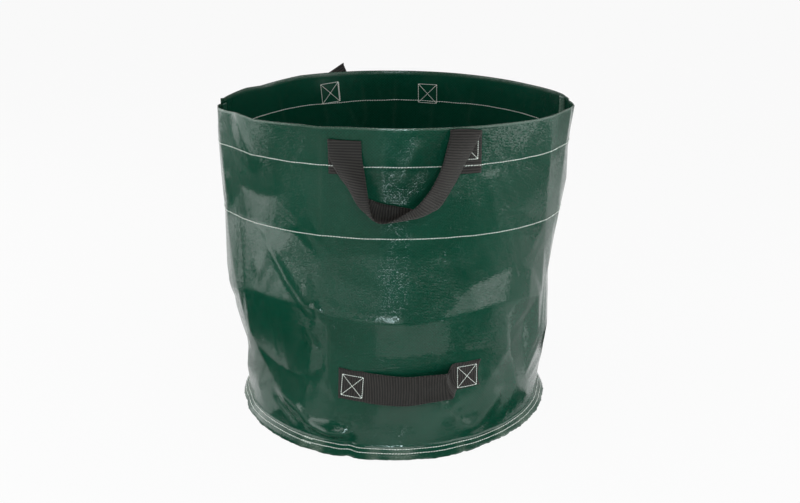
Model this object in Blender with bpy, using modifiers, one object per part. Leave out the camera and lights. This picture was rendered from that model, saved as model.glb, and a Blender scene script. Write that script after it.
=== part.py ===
"""Round garden waste bag of woven plastic sheet with three webbing handles.

Metres, +Z up. The origin is the middle of the base where it rests on the ground, and -Y is the
front. Each cut piece of cloth or webbing is one object, and every piece that touches another
keeps a small gap to it. The wall is round at the foot and an oval at the rim, because the bag
was stored flat.
"""
import math

import bmesh
import bpy
from mathutils import Vector

# Overall form
BAG_HEIGHT = 0.5205
SEAM_RADIUS = 0.252
RIM_WIDENING = 0.035
RIM_FLATTENING = 0.044
RIM_SHIFT_RIGHT = 0.005
RIM_SHIFT_FORWARD = 0.020
BACK_RIM_SHARPNESS = 1.2
RIGHT_SEAM_ANGLE = math.radians(100)
LEFT_SEAM_ANGLE = math.radians(-95)

# Cloth and sewing
SHEET = 0.0015
GAP = 0.0003
CUFF_DEPTH = 0.175
SIDE_ALLOWANCE = 0.013
FLANGE_WIDTH = 0.0192
FLANGE_SLOPE = math.radians(45)
BASE_RISE_WIDTH = 0.016
BASE_KNEE_OUT_SHARE = 0.6
BASE_KNEE_UP_SHARE = 0.4
THREAD_RADIUS = 0.0006
CUFF_ROW_MARGIN = 0.005
FLANGE_ROW_SHARES = {"inner": 0.22, "outer": 0.62}

# Webbing
WEBBING_WIDTH = 0.050
WEBBING_THICKNESS = 0.0016
BOX_STITCH_SIZE = 0.034
BOX_STITCH_LINE = 0.0016
BOX_STITCH_THICKNESS = 0.0006
BOX_STITCH_MARGIN = 0.009
TAB_TAIL = 0.017
ROW_CLEARANCE = 0.0004
HANDLE_SPACING = 0.178
HANDLE_DROP_BELOW_RIM = 0.015
LOOP_DROP = 0.105
LOOP_STAND_OFF = 0.012
FRONT_HANDLE_RIGHT = 0.021
BACK_HANDLE_RIGHT = -0.0265
LOWER_HANDLE_RIGHT = 0.027
LOWER_HANDLE_HEIGHT = 0.117
LOWER_TAB_MARGIN = 0.005
LOWER_LOOP_STAND_OFF = 0.024
LOWER_LOOP_PEAK_SHARE = 0.70

# Mesh steps
COLUMN_STEP = math.radians(5)
WALL_ROWS = 8
CUFF_ROWS = 3
LOOP_STEPS = 28
FLAT_STEPS = 4
BOX_CUTS = 5
PROBE = 1e-5
SEARCH_STEPS = 60
WELD = 1e-6

RIM_HALF_WIDTH = SEAM_RADIUS + RIM_WIDENING
RIM_HALF_DEPTH = SEAM_RADIUS - RIM_FLATTENING
FLANGE_LAYERS = 2 * SHEET + GAP
FLANGE_EDGE_HEIGHT = FLANGE_LAYERS * math.cos(FLANGE_SLOPE)
FOOT_HEIGHT = FLANGE_EDGE_HEIGHT + FLANGE_WIDTH * math.sin(FLANGE_SLOPE)
TAB_OFFSET = GAP + WEBBING_THICKNESS
BOX_OFFSET = TAB_OFFSET + GAP + BOX_STITCH_THICKNESS
LOOP_OFFSET = TAB_OFFSET + GAP + WEBBING_THICKNESS / 2
BOX_STITCH_DROP = BOX_STITCH_MARGIN + BOX_STITCH_SIZE / 2
TAB_LENGTH = BOX_STITCH_DROP + BOX_STITCH_SIZE / 2 + TAB_TAIL
LOWER_TAB_LENGTH = BOX_STITCH_SIZE + 2 * LOWER_TAB_MARGIN
FOLD_HEIGHT = BAG_HEIGHT - HANDLE_DROP_BELOW_RIM
UPPER_ROW_HEIGHT = FOLD_HEIGHT - BOX_STITCH_DROP - BOX_STITCH_SIZE / 2 - THREAD_RADIUS - ROW_CLEARANCE
LOWER_ROW_HEIGHT = BAG_HEIGHT - CUFF_DEPTH + CUFF_ROW_MARGIN


def clear_scene():
    for item in list(bpy.data.objects):
        bpy.data.objects.remove(item, do_unlink=True)


def make_collection(name):
    collection = bpy.data.collections.new(name)
    bpy.context.scene.collection.children.link(collection)
    return collection


def make_material(name, colour, roughness, metallic=0.0):
    material = bpy.data.materials.new(name)
    material.use_nodes = True
    shader = material.node_tree.nodes["Principled BSDF"]
    shader.inputs["Base Color"].default_value = (*colour, 1)
    shader.inputs["Roughness"].default_value = roughness
    shader.inputs["Metallic"].default_value = metallic
    return material


def add_object(name, data, collection, finish, origin=None):
    item = bpy.data.objects.new(name, data)
    item.data.materials.append(make_material(name, *finish))
    collection.objects.link(item)
    if origin is not None:
        for vertex in item.data.vertices:
            vertex.co -= origin
        item.location = origin
    return item


def blend(low, high, share):
    return low + (high - low) * share


def flare(height):
    """How far the wall has opened from the round foot, 0, to the oval rim, 1."""
    share = (height - FOOT_HEIGHT) / (BAG_HEIGHT - FOOT_HEIGHT)
    return 1 - (1 - share) ** 2


def wall_point(angle, height):
    """Outer face of the wall. The angle runs from the front, and grows towards +X."""
    opened = flare(height)
    half_width = blend(SEAM_RADIUS, RIM_HALF_WIDTH, opened)
    forward = math.cos(angle)
    sharpness = 1.0
    rim_depth = RIM_HALF_DEPTH - RIM_SHIFT_FORWARD
    if forward < 0:
        sharpness = blend(1.0, BACK_RIM_SHARPNESS, opened)
        rim_depth = RIM_HALF_DEPTH + RIM_SHIFT_FORWARD
    half_depth = blend(SEAM_RADIUS, rim_depth, opened)
    reach = math.copysign(abs(forward) ** sharpness, forward)
    return Vector((
        RIM_SHIFT_RIGHT * opened + half_width * math.sin(angle),
        -RIM_SHIFT_FORWARD * opened - half_depth * reach,
        height,
    ))


def wall_frame(angle, height):
    """A point of the wall's outer face, its tangent per radian and its outward normal."""
    point = wall_point(angle, height)
    along = (wall_point(angle + PROBE, height) - wall_point(angle - PROBE, height)) / (2 * PROBE)
    up = (wall_point(angle, height) - wall_point(angle, height - PROBE)) / PROBE
    return point, along, along.cross(up).normalized()


def offset_point(angle, height, distance):
    point, _, normal = wall_frame(angle, height)
    return point + normal * distance


def flange_point(angle, share, distance=0.0):
    """Upper face of the seam flange, from the wall's foot, 0, out to its raw edge, 1."""
    out = FLANGE_WIDTH * share
    radius = SEAM_RADIUS + out * math.cos(FLANGE_SLOPE) + distance * math.sin(FLANGE_SLOPE)
    height = FOOT_HEIGHT - out * math.sin(FLANGE_SLOPE) + distance * math.cos(FLANGE_SLOPE)
    return Vector((radius * math.sin(angle), -radius * math.cos(angle), height))


def angle_at(face, across, height):
    """The wall angle at which the given face of the bag has this X."""
    low = -math.pi / 2
    high = math.pi / 2
    for _ in range(SEARCH_STEPS):
        middle = (low + high) / 2
        angle = middle if face == "front" else math.pi - middle
        if wall_point(angle, height).x < across:
            low = middle
        else:
            high = middle
    return middle if face == "front" else math.pi - middle


def patch(name, point, columns, rows, thickness, collection, finish, origin=None, offset=-1.0):
    """A grid laid on a surface and given its thickness; point takes two shares from 0 to 1."""
    mesh = bpy.data.meshes.new(name)
    work = bmesh.new()
    bmesh.ops.create_grid(work, x_segments=columns, y_segments=rows, size=0.5)
    for vertex in work.verts:
        vertex.co = point(vertex.co.x + 0.5, vertex.co.y + 0.5)
    work.to_mesh(mesh)
    work.free()
    item = add_object(name, mesh, collection, finish, origin)
    solidify = item.modifiers.new("thickness", "SOLIDIFY")
    solidify.thickness = thickness
    solidify.offset = offset
    solidify.use_even_offset = True
    return item


def seam_columns(start, end):
    return max(2, round(abs(end - start) / COLUMN_STEP))


def between(start, end, across, height, clearance):
    """The wall angle at a share of the way between two others, less a clearance at each."""
    first = start + clearance / wall_frame(start, height)[1].length
    last = end - clearance / wall_frame(end, height)[1].length
    return blend(first, last, across)


def wall_panel(name, start, end, collection, finish):
    """One half of the wall, with its foot turned outward as the upper layer of the flange."""

    def point(across, up):
        row = max(up * (WALL_ROWS + 1) - 1, 0)
        height = blend(FOOT_HEIGHT, BAG_HEIGHT, row / WALL_ROWS)
        angle = between(start, end, across, height, GAP / 2)
        if up < 0.5 / (WALL_ROWS + 1):
            return flange_point(angle, 1.0)
        return wall_point(angle, height)

    return patch(name, point, seam_columns(start, end), WALL_ROWS + 1, SHEET, collection, finish)


def cuff(name, start, end, collection, finish):
    """The turned-in top of a wall panel, which stops beside the side seam allowances."""
    beside_seam = SHEET + 3 * GAP

    def point(across, up):
        height = blend(BAG_HEIGHT - CUFF_DEPTH, BAG_HEIGHT, up)
        angle = between(start, end, across, height, beside_seam)
        return offset_point(angle, height, -SHEET - GAP)

    return patch(name, point, seam_columns(start, end), CUFF_ROWS, SHEET, collection, finish)


def seam_allowance(name, angle, collection, finish):
    """Both panels' raw edges, sewn together and standing inward along a side seam."""
    start = 2 * SHEET

    def point(inward, up):
        height = blend(FOOT_HEIGHT + SHEET, BAG_HEIGHT, up)
        return offset_point(angle, height, -start - inward * SIDE_ALLOWANCE)

    return patch(name, point, 1, WALL_ROWS, 2 * SHEET, collection, finish, offset=0.0)


def base_panel(collection, finish):
    """The round base: flat on the ground, up to the seam, and out as the lower flange layer."""
    crest = flange_point(math.pi / 2, 0.0, -SHEET - GAP)
    edge = flange_point(math.pi / 2, 1.0, -SHEET - GAP)
    flat_radius = crest.x - BASE_RISE_WIDTH
    profile = [
        (0.0, SHEET),
        (flat_radius / 2, SHEET),
        (flat_radius, SHEET),
        (
            blend(flat_radius, crest.x, BASE_KNEE_OUT_SHARE),
            blend(SHEET, crest.z, BASE_KNEE_UP_SHARE),
        ),
        (crest.x, crest.z),
        (edge.x, edge.z),
    ]
    mesh = bpy.data.meshes.new("base_panel")
    work = bmesh.new()
    points = [work.verts.new((radius, 0, height)) for radius, height in profile]
    for inner, outer in zip(points, points[1:]):
        work.edges.new((inner, outer))
    work.to_mesh(mesh)
    work.free()
    item = add_object("base_panel", mesh, collection, finish)
    steps = round(2 * math.pi / COLUMN_STEP)
    screw = item.modifiers.new("turn", "SCREW")
    screw.steps = steps
    screw.render_steps = steps
    screw.use_merge_vertices = True
    screw.merge_threshold = WELD
    solidify = item.modifiers.new("thickness", "SOLIDIFY")
    solidify.thickness = SHEET
    solidify.offset = -1.0
    solidify.use_even_offset = True
    return item


def row_stations(height, crossed):
    """Wall angles and lifts of a row of stitching, which climbs over the webbing it crosses."""
    low = GAP + THREAD_RADIUS
    high = low + TAB_OFFSET
    stations = []
    for index in range(round(2 * math.pi / COLUMN_STEP)):
        stations.append((LEFT_SEAM_ANGLE + index * COLUMN_STEP, low))
    for middle in crossed:
        stretch = wall_frame(middle, height)[1].length
        top = (WEBBING_WIDTH + high) / 2 / stretch
        foot = top + high / stretch
        kept = foot + high / 2 / stretch
        stations = [(angle, lift) for angle, lift in stations if abs(angle - middle) > kept]
        stations += [(middle - foot, low), (middle + foot, low)]
        for index in range(FLAT_STEPS + 1):
            stations.append((middle + top * (2 * index / FLAT_STEPS - 1), high))
    return sorted(stations)


def thread_row(name, points, collection, finish):
    """A closed row of stitching, as one thread lying on the cloth all the way round."""
    curve = bpy.data.curves.new(name, "CURVE")
    curve.dimensions = "3D"
    curve.bevel_depth = THREAD_RADIUS
    curve.bevel_resolution = 0
    curve.resolution_u = 1
    spline = curve.splines.new("POLY")
    spline.points.add(len(points) - 1)
    for knot, point in zip(spline.points, points):
        knot.co = (*point, 1)
    spline.use_cyclic_u = True
    return add_object(name, curve, collection, finish)


def upright_tab(name, face, across, collection, finish):
    """A webbing end sewn to the wall, pointing down from the fold at its top."""
    middle = angle_at(face, across, FOLD_HEIGHT)

    def point(side, up):
        height = blend(FOLD_HEIGHT - TAB_LENGTH, FOLD_HEIGHT, up)
        stretch = wall_frame(middle, height)[1].length
        angle = middle + (side - 0.5) * WEBBING_WIDTH / stretch
        return offset_point(angle, height, TAB_OFFSET)

    patch(name, point, FLAT_STEPS, FLAT_STEPS // 2, WEBBING_THICKNESS, collection, finish)
    return middle, FOLD_HEIGHT - BOX_STITCH_DROP


def level_tab(name, across, collection, finish):
    """A webbing end of the lower handle, sewn level across the front wall."""
    middle = angle_at("front", across, LOWER_HANDLE_HEIGHT)

    def point(side, up):
        height = LOWER_HANDLE_HEIGHT + (up - 0.5) * WEBBING_WIDTH
        stretch = wall_frame(middle, height)[1].length
        angle = middle + (side - 0.5) * LOWER_TAB_LENGTH / stretch
        return offset_point(angle, height, TAB_OFFSET)

    patch(name, point, FLAT_STEPS, FLAT_STEPS // 2, WEBBING_THICKNESS, collection, finish)
    return middle, LOWER_HANDLE_HEIGHT


def box_outline(half, line):
    """The square and its four triangular windows, which leave a box with a cross in it."""
    inner = half - line
    reach = inner - line * math.sqrt(0.5)
    near = line * math.sqrt(0.5)
    yield [(-half, -half), (half, -half), (half, half), (-half, half)]
    for quarter in range(4):
        turn = quarter * math.pi / 2
        window = [(near, 0.0), (inner, -reach), (inner, reach)]
        yield [
            (x * math.cos(turn) - y * math.sin(turn), x * math.sin(turn) + y * math.cos(turn))
            for x, y in window
        ]


def box_stitch(name, angle, height, collection, finish):
    """A square of stitching with a cross, laid on a webbing end and bent to its curve."""
    half = BOX_STITCH_SIZE / 2
    curve = bpy.data.curves.new(name, "CURVE")
    curve.dimensions = "2D"
    curve.fill_mode = "BOTH"
    curve.extrude = BOX_STITCH_THICKNESS / 2
    for outline in box_outline(half, BOX_STITCH_LINE):
        spline = curve.splines.new("POLY")
        spline.points.add(len(outline) - 1)
        for knot, (x, y) in zip(spline.points, outline):
            knot.co = (x, y, 0, 1)
        spline.use_cyclic_u = True
    guide = bpy.data.objects.new(name + "_outline", curve)
    collection.objects.link(guide)
    bpy.context.view_layer.update()
    evaluated = guide.evaluated_get(bpy.context.evaluated_depsgraph_get())
    mesh = bpy.data.meshes.new_from_object(evaluated)
    bpy.data.objects.remove(guide, do_unlink=True)
    work = bmesh.new()
    work.from_mesh(mesh)
    bmesh.ops.remove_doubles(work, verts=work.verts, dist=WELD)
    for cut in range(1, BOX_CUTS + 1):
        place = blend(-half, half, cut / (BOX_CUTS + 1))
        everything = work.verts[:] + work.edges[:] + work.faces[:]
        bmesh.ops.bisect_plane(work, geom=everything, plane_co=(place, 0, 0), plane_no=(1, 0, 0))
    for vertex in work.verts:
        x, y, z = vertex.co
        stretch = wall_frame(angle, height + y)[1].length
        out = BOX_OFFSET - BOX_STITCH_THICKNESS / 2 + z
        vertex.co = offset_point(angle + x / stretch, height + y, out)
    bmesh.ops.triangulate(work, faces=work.faces)
    bmesh.ops.recalc_face_normals(work, faces=work.faces)
    work.to_mesh(mesh)
    work.free()
    mesh.name = name
    return add_object(name, mesh, collection, finish)


def swing_axis(face, left, right):
    """The line that a top handle swings about, through the inner corners of its two folds."""
    ends = []
    for angle, inward in ((left, 1), (right, -1)):
        turn = 1 if face == "front" else -1
        stretch = wall_frame(angle, FOLD_HEIGHT)[1].length
        corner = angle + inward * turn * WEBBING_WIDTH / 2 / stretch
        ends.append(offset_point(corner, FOLD_HEIGHT, LOOP_OFFSET))
    direction = (ends[1] - ends[0]).normalized()
    half = WEBBING_WIDTH / 2
    return ends[0] - direction * half, ends[1] + direction * half


def hanging_loop(name, face, left, right, collection, finish):
    """A top handle's free webbing: it hangs in a U and turns on edge at the bottom."""
    start, end = swing_axis(face, left, right)
    middle = (start + end) / 2
    half_span = (end - start) / 2
    down = Vector((0, 0, -1))
    backward = half_span.cross(down).normalized()
    outward = -backward if face == "front" else backward

    def point(along, across):
        turn = math.pi * along
        drop = math.sin(turn)
        on_edge = math.pi / 2 * drop ** 2
        stand = WEBBING_WIDTH / 2 * math.sin(on_edge) + LOOP_STAND_OFF * drop ** 2
        centre = middle - half_span * math.cos(turn) + down * LOOP_DROP * drop + outward * stand
        heading = half_span * math.sin(turn) + down * LOOP_DROP * math.cos(turn)
        inner_side = heading.cross(backward).normalized()
        width = inner_side * math.cos(on_edge) + outward * math.sin(on_edge)
        return centre + width * (across - 0.5) * WEBBING_WIDTH

    patch(name, point, LOOP_STEPS, 2, WEBBING_THICKNESS, collection, finish, middle, 0.0)
    return start, end


def standing_loop(name, left, right, collection, finish):
    """The lower handle's free webbing, which stands off the wall most near its right end."""
    power = math.log(0.5) / math.log(LOWER_LOOP_PEAK_SHARE)

    def stand(along):
        bulge = math.sin(math.pi * along ** power) ** 2
        return TAB_OFFSET - WEBBING_THICKNESS / 2 + LOWER_LOOP_STAND_OFF * bulge

    def point(along, across):
        height = LOWER_HANDLE_HEIGHT + (across - 0.5) * WEBBING_WIDTH
        angle = between(left, right, along, height, LOWER_TAB_LENGTH / 2 + GAP)
        return offset_point(angle, height, stand(along))

    middle = point(0.5, 0.5)
    patch(name, point, LOOP_STEPS, 2, WEBBING_THICKNESS, collection, finish, middle, 0.0)
    return middle


def build():
    clear_scene()
    bag = make_collection("garden_waste_bag")
    sheet_finish = ((0.013, 0.085, 0.050), 0.32)
    lining_finish = ((0.010, 0.070, 0.042), 0.36)
    webbing_finish = ((0.022, 0.019, 0.017), 0.75)
    thread_finish = ((0.62, 0.68, 0.60), 0.80)

    wall_panel("front_panel", LEFT_SEAM_ANGLE, RIGHT_SEAM_ANGLE, bag, sheet_finish)
    wall_panel("back_panel", RIGHT_SEAM_ANGLE, LEFT_SEAM_ANGLE + 2 * math.pi, bag, sheet_finish)
    cuff("front_cuff", LEFT_SEAM_ANGLE, RIGHT_SEAM_ANGLE, bag, lining_finish)
    cuff("back_cuff", RIGHT_SEAM_ANGLE, LEFT_SEAM_ANGLE + 2 * math.pi, bag, lining_finish)
    seam_allowance("left_seam_allowance", LEFT_SEAM_ANGLE, bag, lining_finish)
    seam_allowance("right_seam_allowance", RIGHT_SEAM_ANGLE, bag, lining_finish)
    base_panel(bag, sheet_finish)

    axes = {}
    crossed = []
    for face, shift in (("front", FRONT_HANDLE_RIGHT), ("back", BACK_HANDLE_RIGHT)):
        angles = []
        for side, sign in (("left", -1), ("right", 1)):
            name = face + "_handle_" + side
            across = shift + sign * HANDLE_SPACING / 2
            place = upright_tab(name + "_tab", face, across, bag, webbing_finish)
            box_stitch(name + "_box_stitch", *place, bag, thread_finish)
            angles.append(place[0])
        axes[face] = hanging_loop(face + "_handle_loop", face, *angles, bag, webbing_finish)
        crossed += angles

    angles = []
    for side, sign in (("left", -1), ("right", 1)):
        name = "lower_handle_" + side
        across = LOWER_HANDLE_RIGHT + sign * HANDLE_SPACING / 2
        place = level_tab(name + "_tab", across, bag, webbing_finish)
        box_stitch(name + "_box_stitch", *place, bag, thread_finish)
        angles.append(place[0])
    axes["lower"] = standing_loop("lower_handle_loop", *angles, bag, webbing_finish)

    for name, height, under in (("upper", UPPER_ROW_HEIGHT, crossed), ("lower", LOWER_ROW_HEIGHT, [])):
        points = [offset_point(angle, height, lift) for angle, lift in row_stations(height, under)]
        thread_row(name + "_cuff_stitching", points, bag, thread_finish)
    for name, share in FLANGE_ROW_SHARES.items():
        points = [flange_point(angle, share, lift) for angle, lift in row_stations(FOOT_HEIGHT, [])]
        thread_row(name + "_base_stitching", points, bag, thread_finish)
    return axes


AXES = build()
for handle, place in AXES.items():
    print(handle, "handle axis", place)
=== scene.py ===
# %% [markdown]
# A garden waste bag: a round, open bag of woven plastic sheet that stands by itself, with a webbing
# handle at the front of the rim, one at the back, and one low at the front for tipping it out. The
# bag is cut cloth, webbing and thread, so nearly every piece here is a thin surface. Its sewn form
# is the construction model's, and this file gives it creases, weave, stitches and light.

# %% Load the construction model as a fixed frame
import math

import bmesh
import bpy
import numpy as np
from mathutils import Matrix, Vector
from mathutils.geometry import delaunay_2d_cdt


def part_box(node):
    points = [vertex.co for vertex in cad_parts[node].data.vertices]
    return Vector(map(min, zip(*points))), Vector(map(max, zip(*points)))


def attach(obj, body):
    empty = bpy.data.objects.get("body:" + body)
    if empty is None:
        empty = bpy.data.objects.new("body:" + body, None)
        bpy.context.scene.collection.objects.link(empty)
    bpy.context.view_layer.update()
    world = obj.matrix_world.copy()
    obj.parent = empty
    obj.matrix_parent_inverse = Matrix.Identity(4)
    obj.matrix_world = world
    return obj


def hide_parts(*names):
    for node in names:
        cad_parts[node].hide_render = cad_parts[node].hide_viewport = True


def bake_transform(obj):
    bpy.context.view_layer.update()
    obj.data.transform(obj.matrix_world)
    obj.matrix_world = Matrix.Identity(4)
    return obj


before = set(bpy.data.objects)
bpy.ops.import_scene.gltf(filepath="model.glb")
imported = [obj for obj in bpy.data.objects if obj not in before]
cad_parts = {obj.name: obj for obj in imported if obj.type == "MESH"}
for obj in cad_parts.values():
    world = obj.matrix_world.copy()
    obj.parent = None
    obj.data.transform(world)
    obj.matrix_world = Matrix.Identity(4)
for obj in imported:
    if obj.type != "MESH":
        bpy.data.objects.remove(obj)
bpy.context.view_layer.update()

# %% [markdown]
# The camera stands nearly two metres in front of the bag, a little above it, and looks down into it.
# The round foot and the oval rim in the photograph fix its place: a round seam of known size looks
# like one ellipse only from one point. A camera could also be aimed by a Track To constraint, but a
# plain angle is easier to read and gives the same picture every time.

# %% Camera
LENS = 51.8
SENSOR = 36.0
CAMERA_PLACE = (0.012, -1.846, 0.9444)
CAMERA_PITCH = math.radians(90 - 20.587)

lens = bpy.data.cameras.new("camera")
lens.lens = LENS
lens.sensor_width = SENSOR
camera = bpy.data.objects.new("camera", lens)
camera.location = CAMERA_PLACE
camera.rotation_euler = (CAMERA_PITCH, 0, 0)
bpy.context.scene.collection.objects.link(camera)
bpy.context.scene.camera = camera
bpy.context.scene.view_settings.view_transform = "Standard"
print("Camera stands", round(-CAMERA_PLACE[1], 2), "m in front of the bag's middle")

# %% [markdown]
# Every finish below is a small tree of nodes. Written node by node, a tree hides its arithmetic, so
# a short class stands for one output socket and turns Python's own signs into Math nodes: the line
# `1 - mask * 0.5` adds a Multiply and a Subtract. Any other node comes from one method, which sets
# the node's own settings first, because some of them change which sockets it has.


# %% Sockets that can be added and multiplied
MIX_SHARE, MIX_FIRST, MIX_SECOND, MIX_RESULT = 0, 6, 7, 2  # where a Mix node keeps its colours


class Wire:
    """One output socket, which takes part in sums with numbers and with other sockets."""

    def __init__(self, tree, socket):
        self.tree = tree
        self.socket = socket

    def sum(self, operation, *values):
        return self.tree.node("ShaderNodeMath", {"operation": operation}, dict(enumerate(values)))

    def __add__(self, other):
        return self.sum("ADD", self, other)

    def __radd__(self, other):
        return self.sum("ADD", other, self)

    def __sub__(self, other):
        return self.sum("SUBTRACT", self, other)

    def __rsub__(self, other):
        return self.sum("SUBTRACT", other, self)

    def __mul__(self, other):
        return self.sum("MULTIPLY", self, other)

    def __rmul__(self, other):
        return self.sum("MULTIPLY", other, self)

    def __truediv__(self, other):
        return self.sum("DIVIDE", self, other)

    def __rtruediv__(self, other):
        return self.sum("DIVIDE", other, self)

    def __pow__(self, other):
        return self.sum("POWER", self, other)

    def __rpow__(self, other):
        return self.sum("POWER", other, self)

    def __mod__(self, other):
        return self.sum("FLOORED_MODULO", self, other)

    def __rmod__(self, other):
        return self.sum("FLOORED_MODULO", other, self)

    def __abs__(self):
        return self.sum("ABSOLUTE", self)

    def floor(self):
        return self.sum("FLOOR", self)

    def larger(self, other):
        return self.sum("MAXIMUM", self, other)

    def rise(self, low, high):
        """A soft step from 0 at low to 1 at high."""
        sockets = {"Value": self, "From Min": low, "From Max": high}
        return self.tree.node("ShaderNodeMapRange", {"interpolation_type": "SMOOTHSTEP"}, sockets)


print("A sum with a socket in it makes a Math node")


# %% Trees of nodes, and finishes
class Tree:
    """A node tree whose nodes are added with their settings and sockets in one call."""

    def __init__(self, tree):
        self.tree = tree

    def put(self, socket, value):
        if isinstance(value, Wire):
            self.tree.links.new(value.socket, socket)
        else:
            socket.default_value = value

    def node(self, kind, settings=None, sockets=None, output=0):
        node = self.tree.nodes.new(kind)
        for name, value in (settings or {}).items():
            setattr(node, name, value)
        for name, value in (sockets or {}).items():
            self.put(node.inputs[name], value)
        return Wire(self, node.outputs[output])


class Finish(Tree):
    """A material: what is the same all over is set on its shader, and the rest is wired to it."""

    def __init__(self, name, fixed):
        self.material = bpy.data.materials.new(name)
        self.material.use_nodes = True
        super().__init__(self.material.node_tree)
        self.shader = self.tree.nodes["Principled BSDF"]
        for socket, value in fixed.items():
            self.wire(socket, value)

    def wire(self, socket, value):
        self.put(self.shader.inputs[socket], value)

    def noise(self, place, scale, detail=3.0):
        sockets = {"Vector": place, "Scale": scale, "Detail": detail}
        return self.node("ShaderNodeTexNoise", {}, sockets)

    def mix(self, first, second, share):
        """From one colour to another."""
        sockets = {MIX_SHARE: share, MIX_FIRST: first, MIX_SECOND: second}
        return self.node("ShaderNodeMix", {"data_type": "RGBA"}, sockets, MIX_RESULT)

    def relief(self, height, depth, under=None):
        """A bump as deep as the real surface, in metres, on top of another if one is given."""
        sockets = {"Height": height, "Distance": depth}
        if under is not None:
            sockets["Normal"] = under
        return self.node("ShaderNodeBump", {}, sockets)


print("A finish is a tree of nodes that ends in one shader")

# %% [markdown]
# A studio for a shiny dark object is mostly about what the object mirrors. Near the front the sheet mirrors
# the floor and the dark side of the room where the photographer stands, and towards its sides it mirrors two
# large soft lights and the white wall behind. Lamps alone would brighten every facet alike, so the
# reflections are painted: sheets of black, grey, pale and glowing paper lie on the floor and stand round the
# room, and each paints a dark or bright reflection on the facets that face it. Only mirrored rays meet these
# cards: to the camera the floor and the world are white.

# %% The floor
WHITE = (1, 1, 1, 1)
FLOOR_REACH = 20.0
FLOOR_COLOUR = (0.86, 0.86, 0.86, 1)
FLOOR_GLOW = 0.93
CORNERS = ((-1, -1), (1, -1), (1, 1), (-1, 1))


def white_to_sight(tree):
    """1 where the ray comes from the camera, a mirror or glass, and 0 for light that falls."""
    outputs = ("Is Camera Ray", "Is Glossy Ray", "Is Transmission Ray")
    rays = [tree.node("ShaderNodeLightPath", {}, {}, output) for output in outputs]
    return rays[0].larger(rays[1]).larger(rays[2])


def floor_paper():
    fixed = {"Base Color": FLOOR_COLOUR, "Roughness": 1.0, "Specular IOR Level": 0.0}
    paper = Finish("floor_paper", fixed)
    glow = paper.node("ShaderNodeEmission", {}, {"Color": WHITE, "Strength": 1.0})
    lit = Wire(paper, paper.shader.outputs[0])
    share = white_to_sight(paper) * FLOOR_GLOW
    surface = paper.node("ShaderNodeMixShader", {}, {0: share, 1: lit, 2: glow})
    paper.put(paper.tree.nodes["Material Output"].inputs["Surface"], surface)
    return paper.material


def stage_sheet(name, points, paper):
    """A flat sheet of the studio through points in metres."""
    mesh = bpy.data.meshes.new(name)
    mesh.from_pydata(points, [], [tuple(range(len(points)))])
    mesh.materials.append(paper)
    item = bpy.data.objects.new(name, mesh)
    bpy.context.scene.collection.objects.link(item)
    return item


stage_sheet("floor", [(x * FLOOR_REACH, y * FLOOR_REACH, 0) for x, y in CORNERS], floor_paper())
print("The floor reaches", FLOOR_REACH, "m from the bag")


# %% Glowing papers for the cards, which paint reflections
def reflection_glow(name, level):
    """Paper that glows by itself and paints a reflection: 0 is black, 1 is white, and more is a lit wall's.
    """
    fixed = {"Base Color": (0, 0, 0, 1), "Roughness": 1.0, "Specular IOR Level": 0.0,
             "Emission Color": WHITE, "Emission Strength": level}
    return Finish(name, fixed).material


# Black and grey papers paint dark reflections, and pale and lit ones paint bright reflections.
BLACK = reflection_glow("painted_dark_reflection", 0.0)
GREY = reflection_glow("painted_grey_reflection", 0.3)
PALE = reflection_glow("painted_pale_reflection", 0.55)
LIT = reflection_glow("painted_bright_reflection", 2.0)
LIT_WALL = reflection_glow("painted_lit_wall_reflection", 1.25)
print("Papers:", ", ".join(paper.name for paper in (BLACK, GREY, PALE, LIT, LIT_WALL)))

# %% Cards on the floor
CARD_LIFT = 0.004
RING_STEPS = 14
FLOOR_CARDS = {
    # distances from and to, in metres, and directions from and to, in degrees from the front
    "dark_floor_front": (0.80, 2.60, -6, 52, BLACK),
    "grey_floor_front": (0.80, 2.60, -46, -6, GREY),
    "grey_floor_near": (0.45, 0.80, -39, -8, GREY),
    "dark_floor_left": (0.40, 1.50, -101, -46, BLACK),
    "dark_floor_far_left": (1.50, 2.10, -69, -46, BLACK),
    "dark_floor_side_left": (1.56, 2.60, -106, -92, BLACK),
    "lit_floor_left": (1.54, 2.40, -90, -70, LIT),
    "lit_floor_side_left": (1.55, 1.95, -118, -107, LIT),
    "pale_floor_left_foot": (0.30, 0.39, -112, -78, PALE),
    "dark_floor_near_right": (0.50, 0.80, 28, 50, BLACK),
    "dark_floor_far_right": (1.32, 2.60, 52, 90, BLACK),
    "lit_floor_right": (0.43, 0.60, 57, 75, LIT),
    "lit_floor_side_right": (1.20, 1.60, 94, 107, LIT),
    "grey_floor_side_right": (1.65, 2.40, 107, 135, GREY),
    "pale_floor_right": (0.36, 0.60, 75, 105, PALE),
    "dark_floor_right_foot": (0.272, 0.44, 108, 150, BLACK),
    "dark_floor_foot": (0.272, 0.33, -60, 75, BLACK),
}


def card(name, points, paper):
    """A sheet that only mirrored rays meet: a painted reflection, dark or bright by its paper."""
    item = stage_sheet(name, points, paper)
    item.visible_camera = False
    item.visible_diffuse = False
    item.visible_shadow = False
    item.visible_transmission = False


def arc(distance, start, end):
    """Points just above the floor, at one distance from the bag and between two directions."""
    turns = [math.radians(start + (end - start) * k / RING_STEPS) for k in range(RING_STEPS + 1)]
    return [(distance * math.sin(turn), -distance * math.cos(turn), CARD_LIFT) for turn in turns]


for name, (near, far, start, end, paper) in FLOOR_CARDS.items():
    card(name, arc(near, start, end) + arc(far, start, end)[::-1], paper)
print(len(FLOOR_CARDS), "cards lie on the floor")

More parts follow.
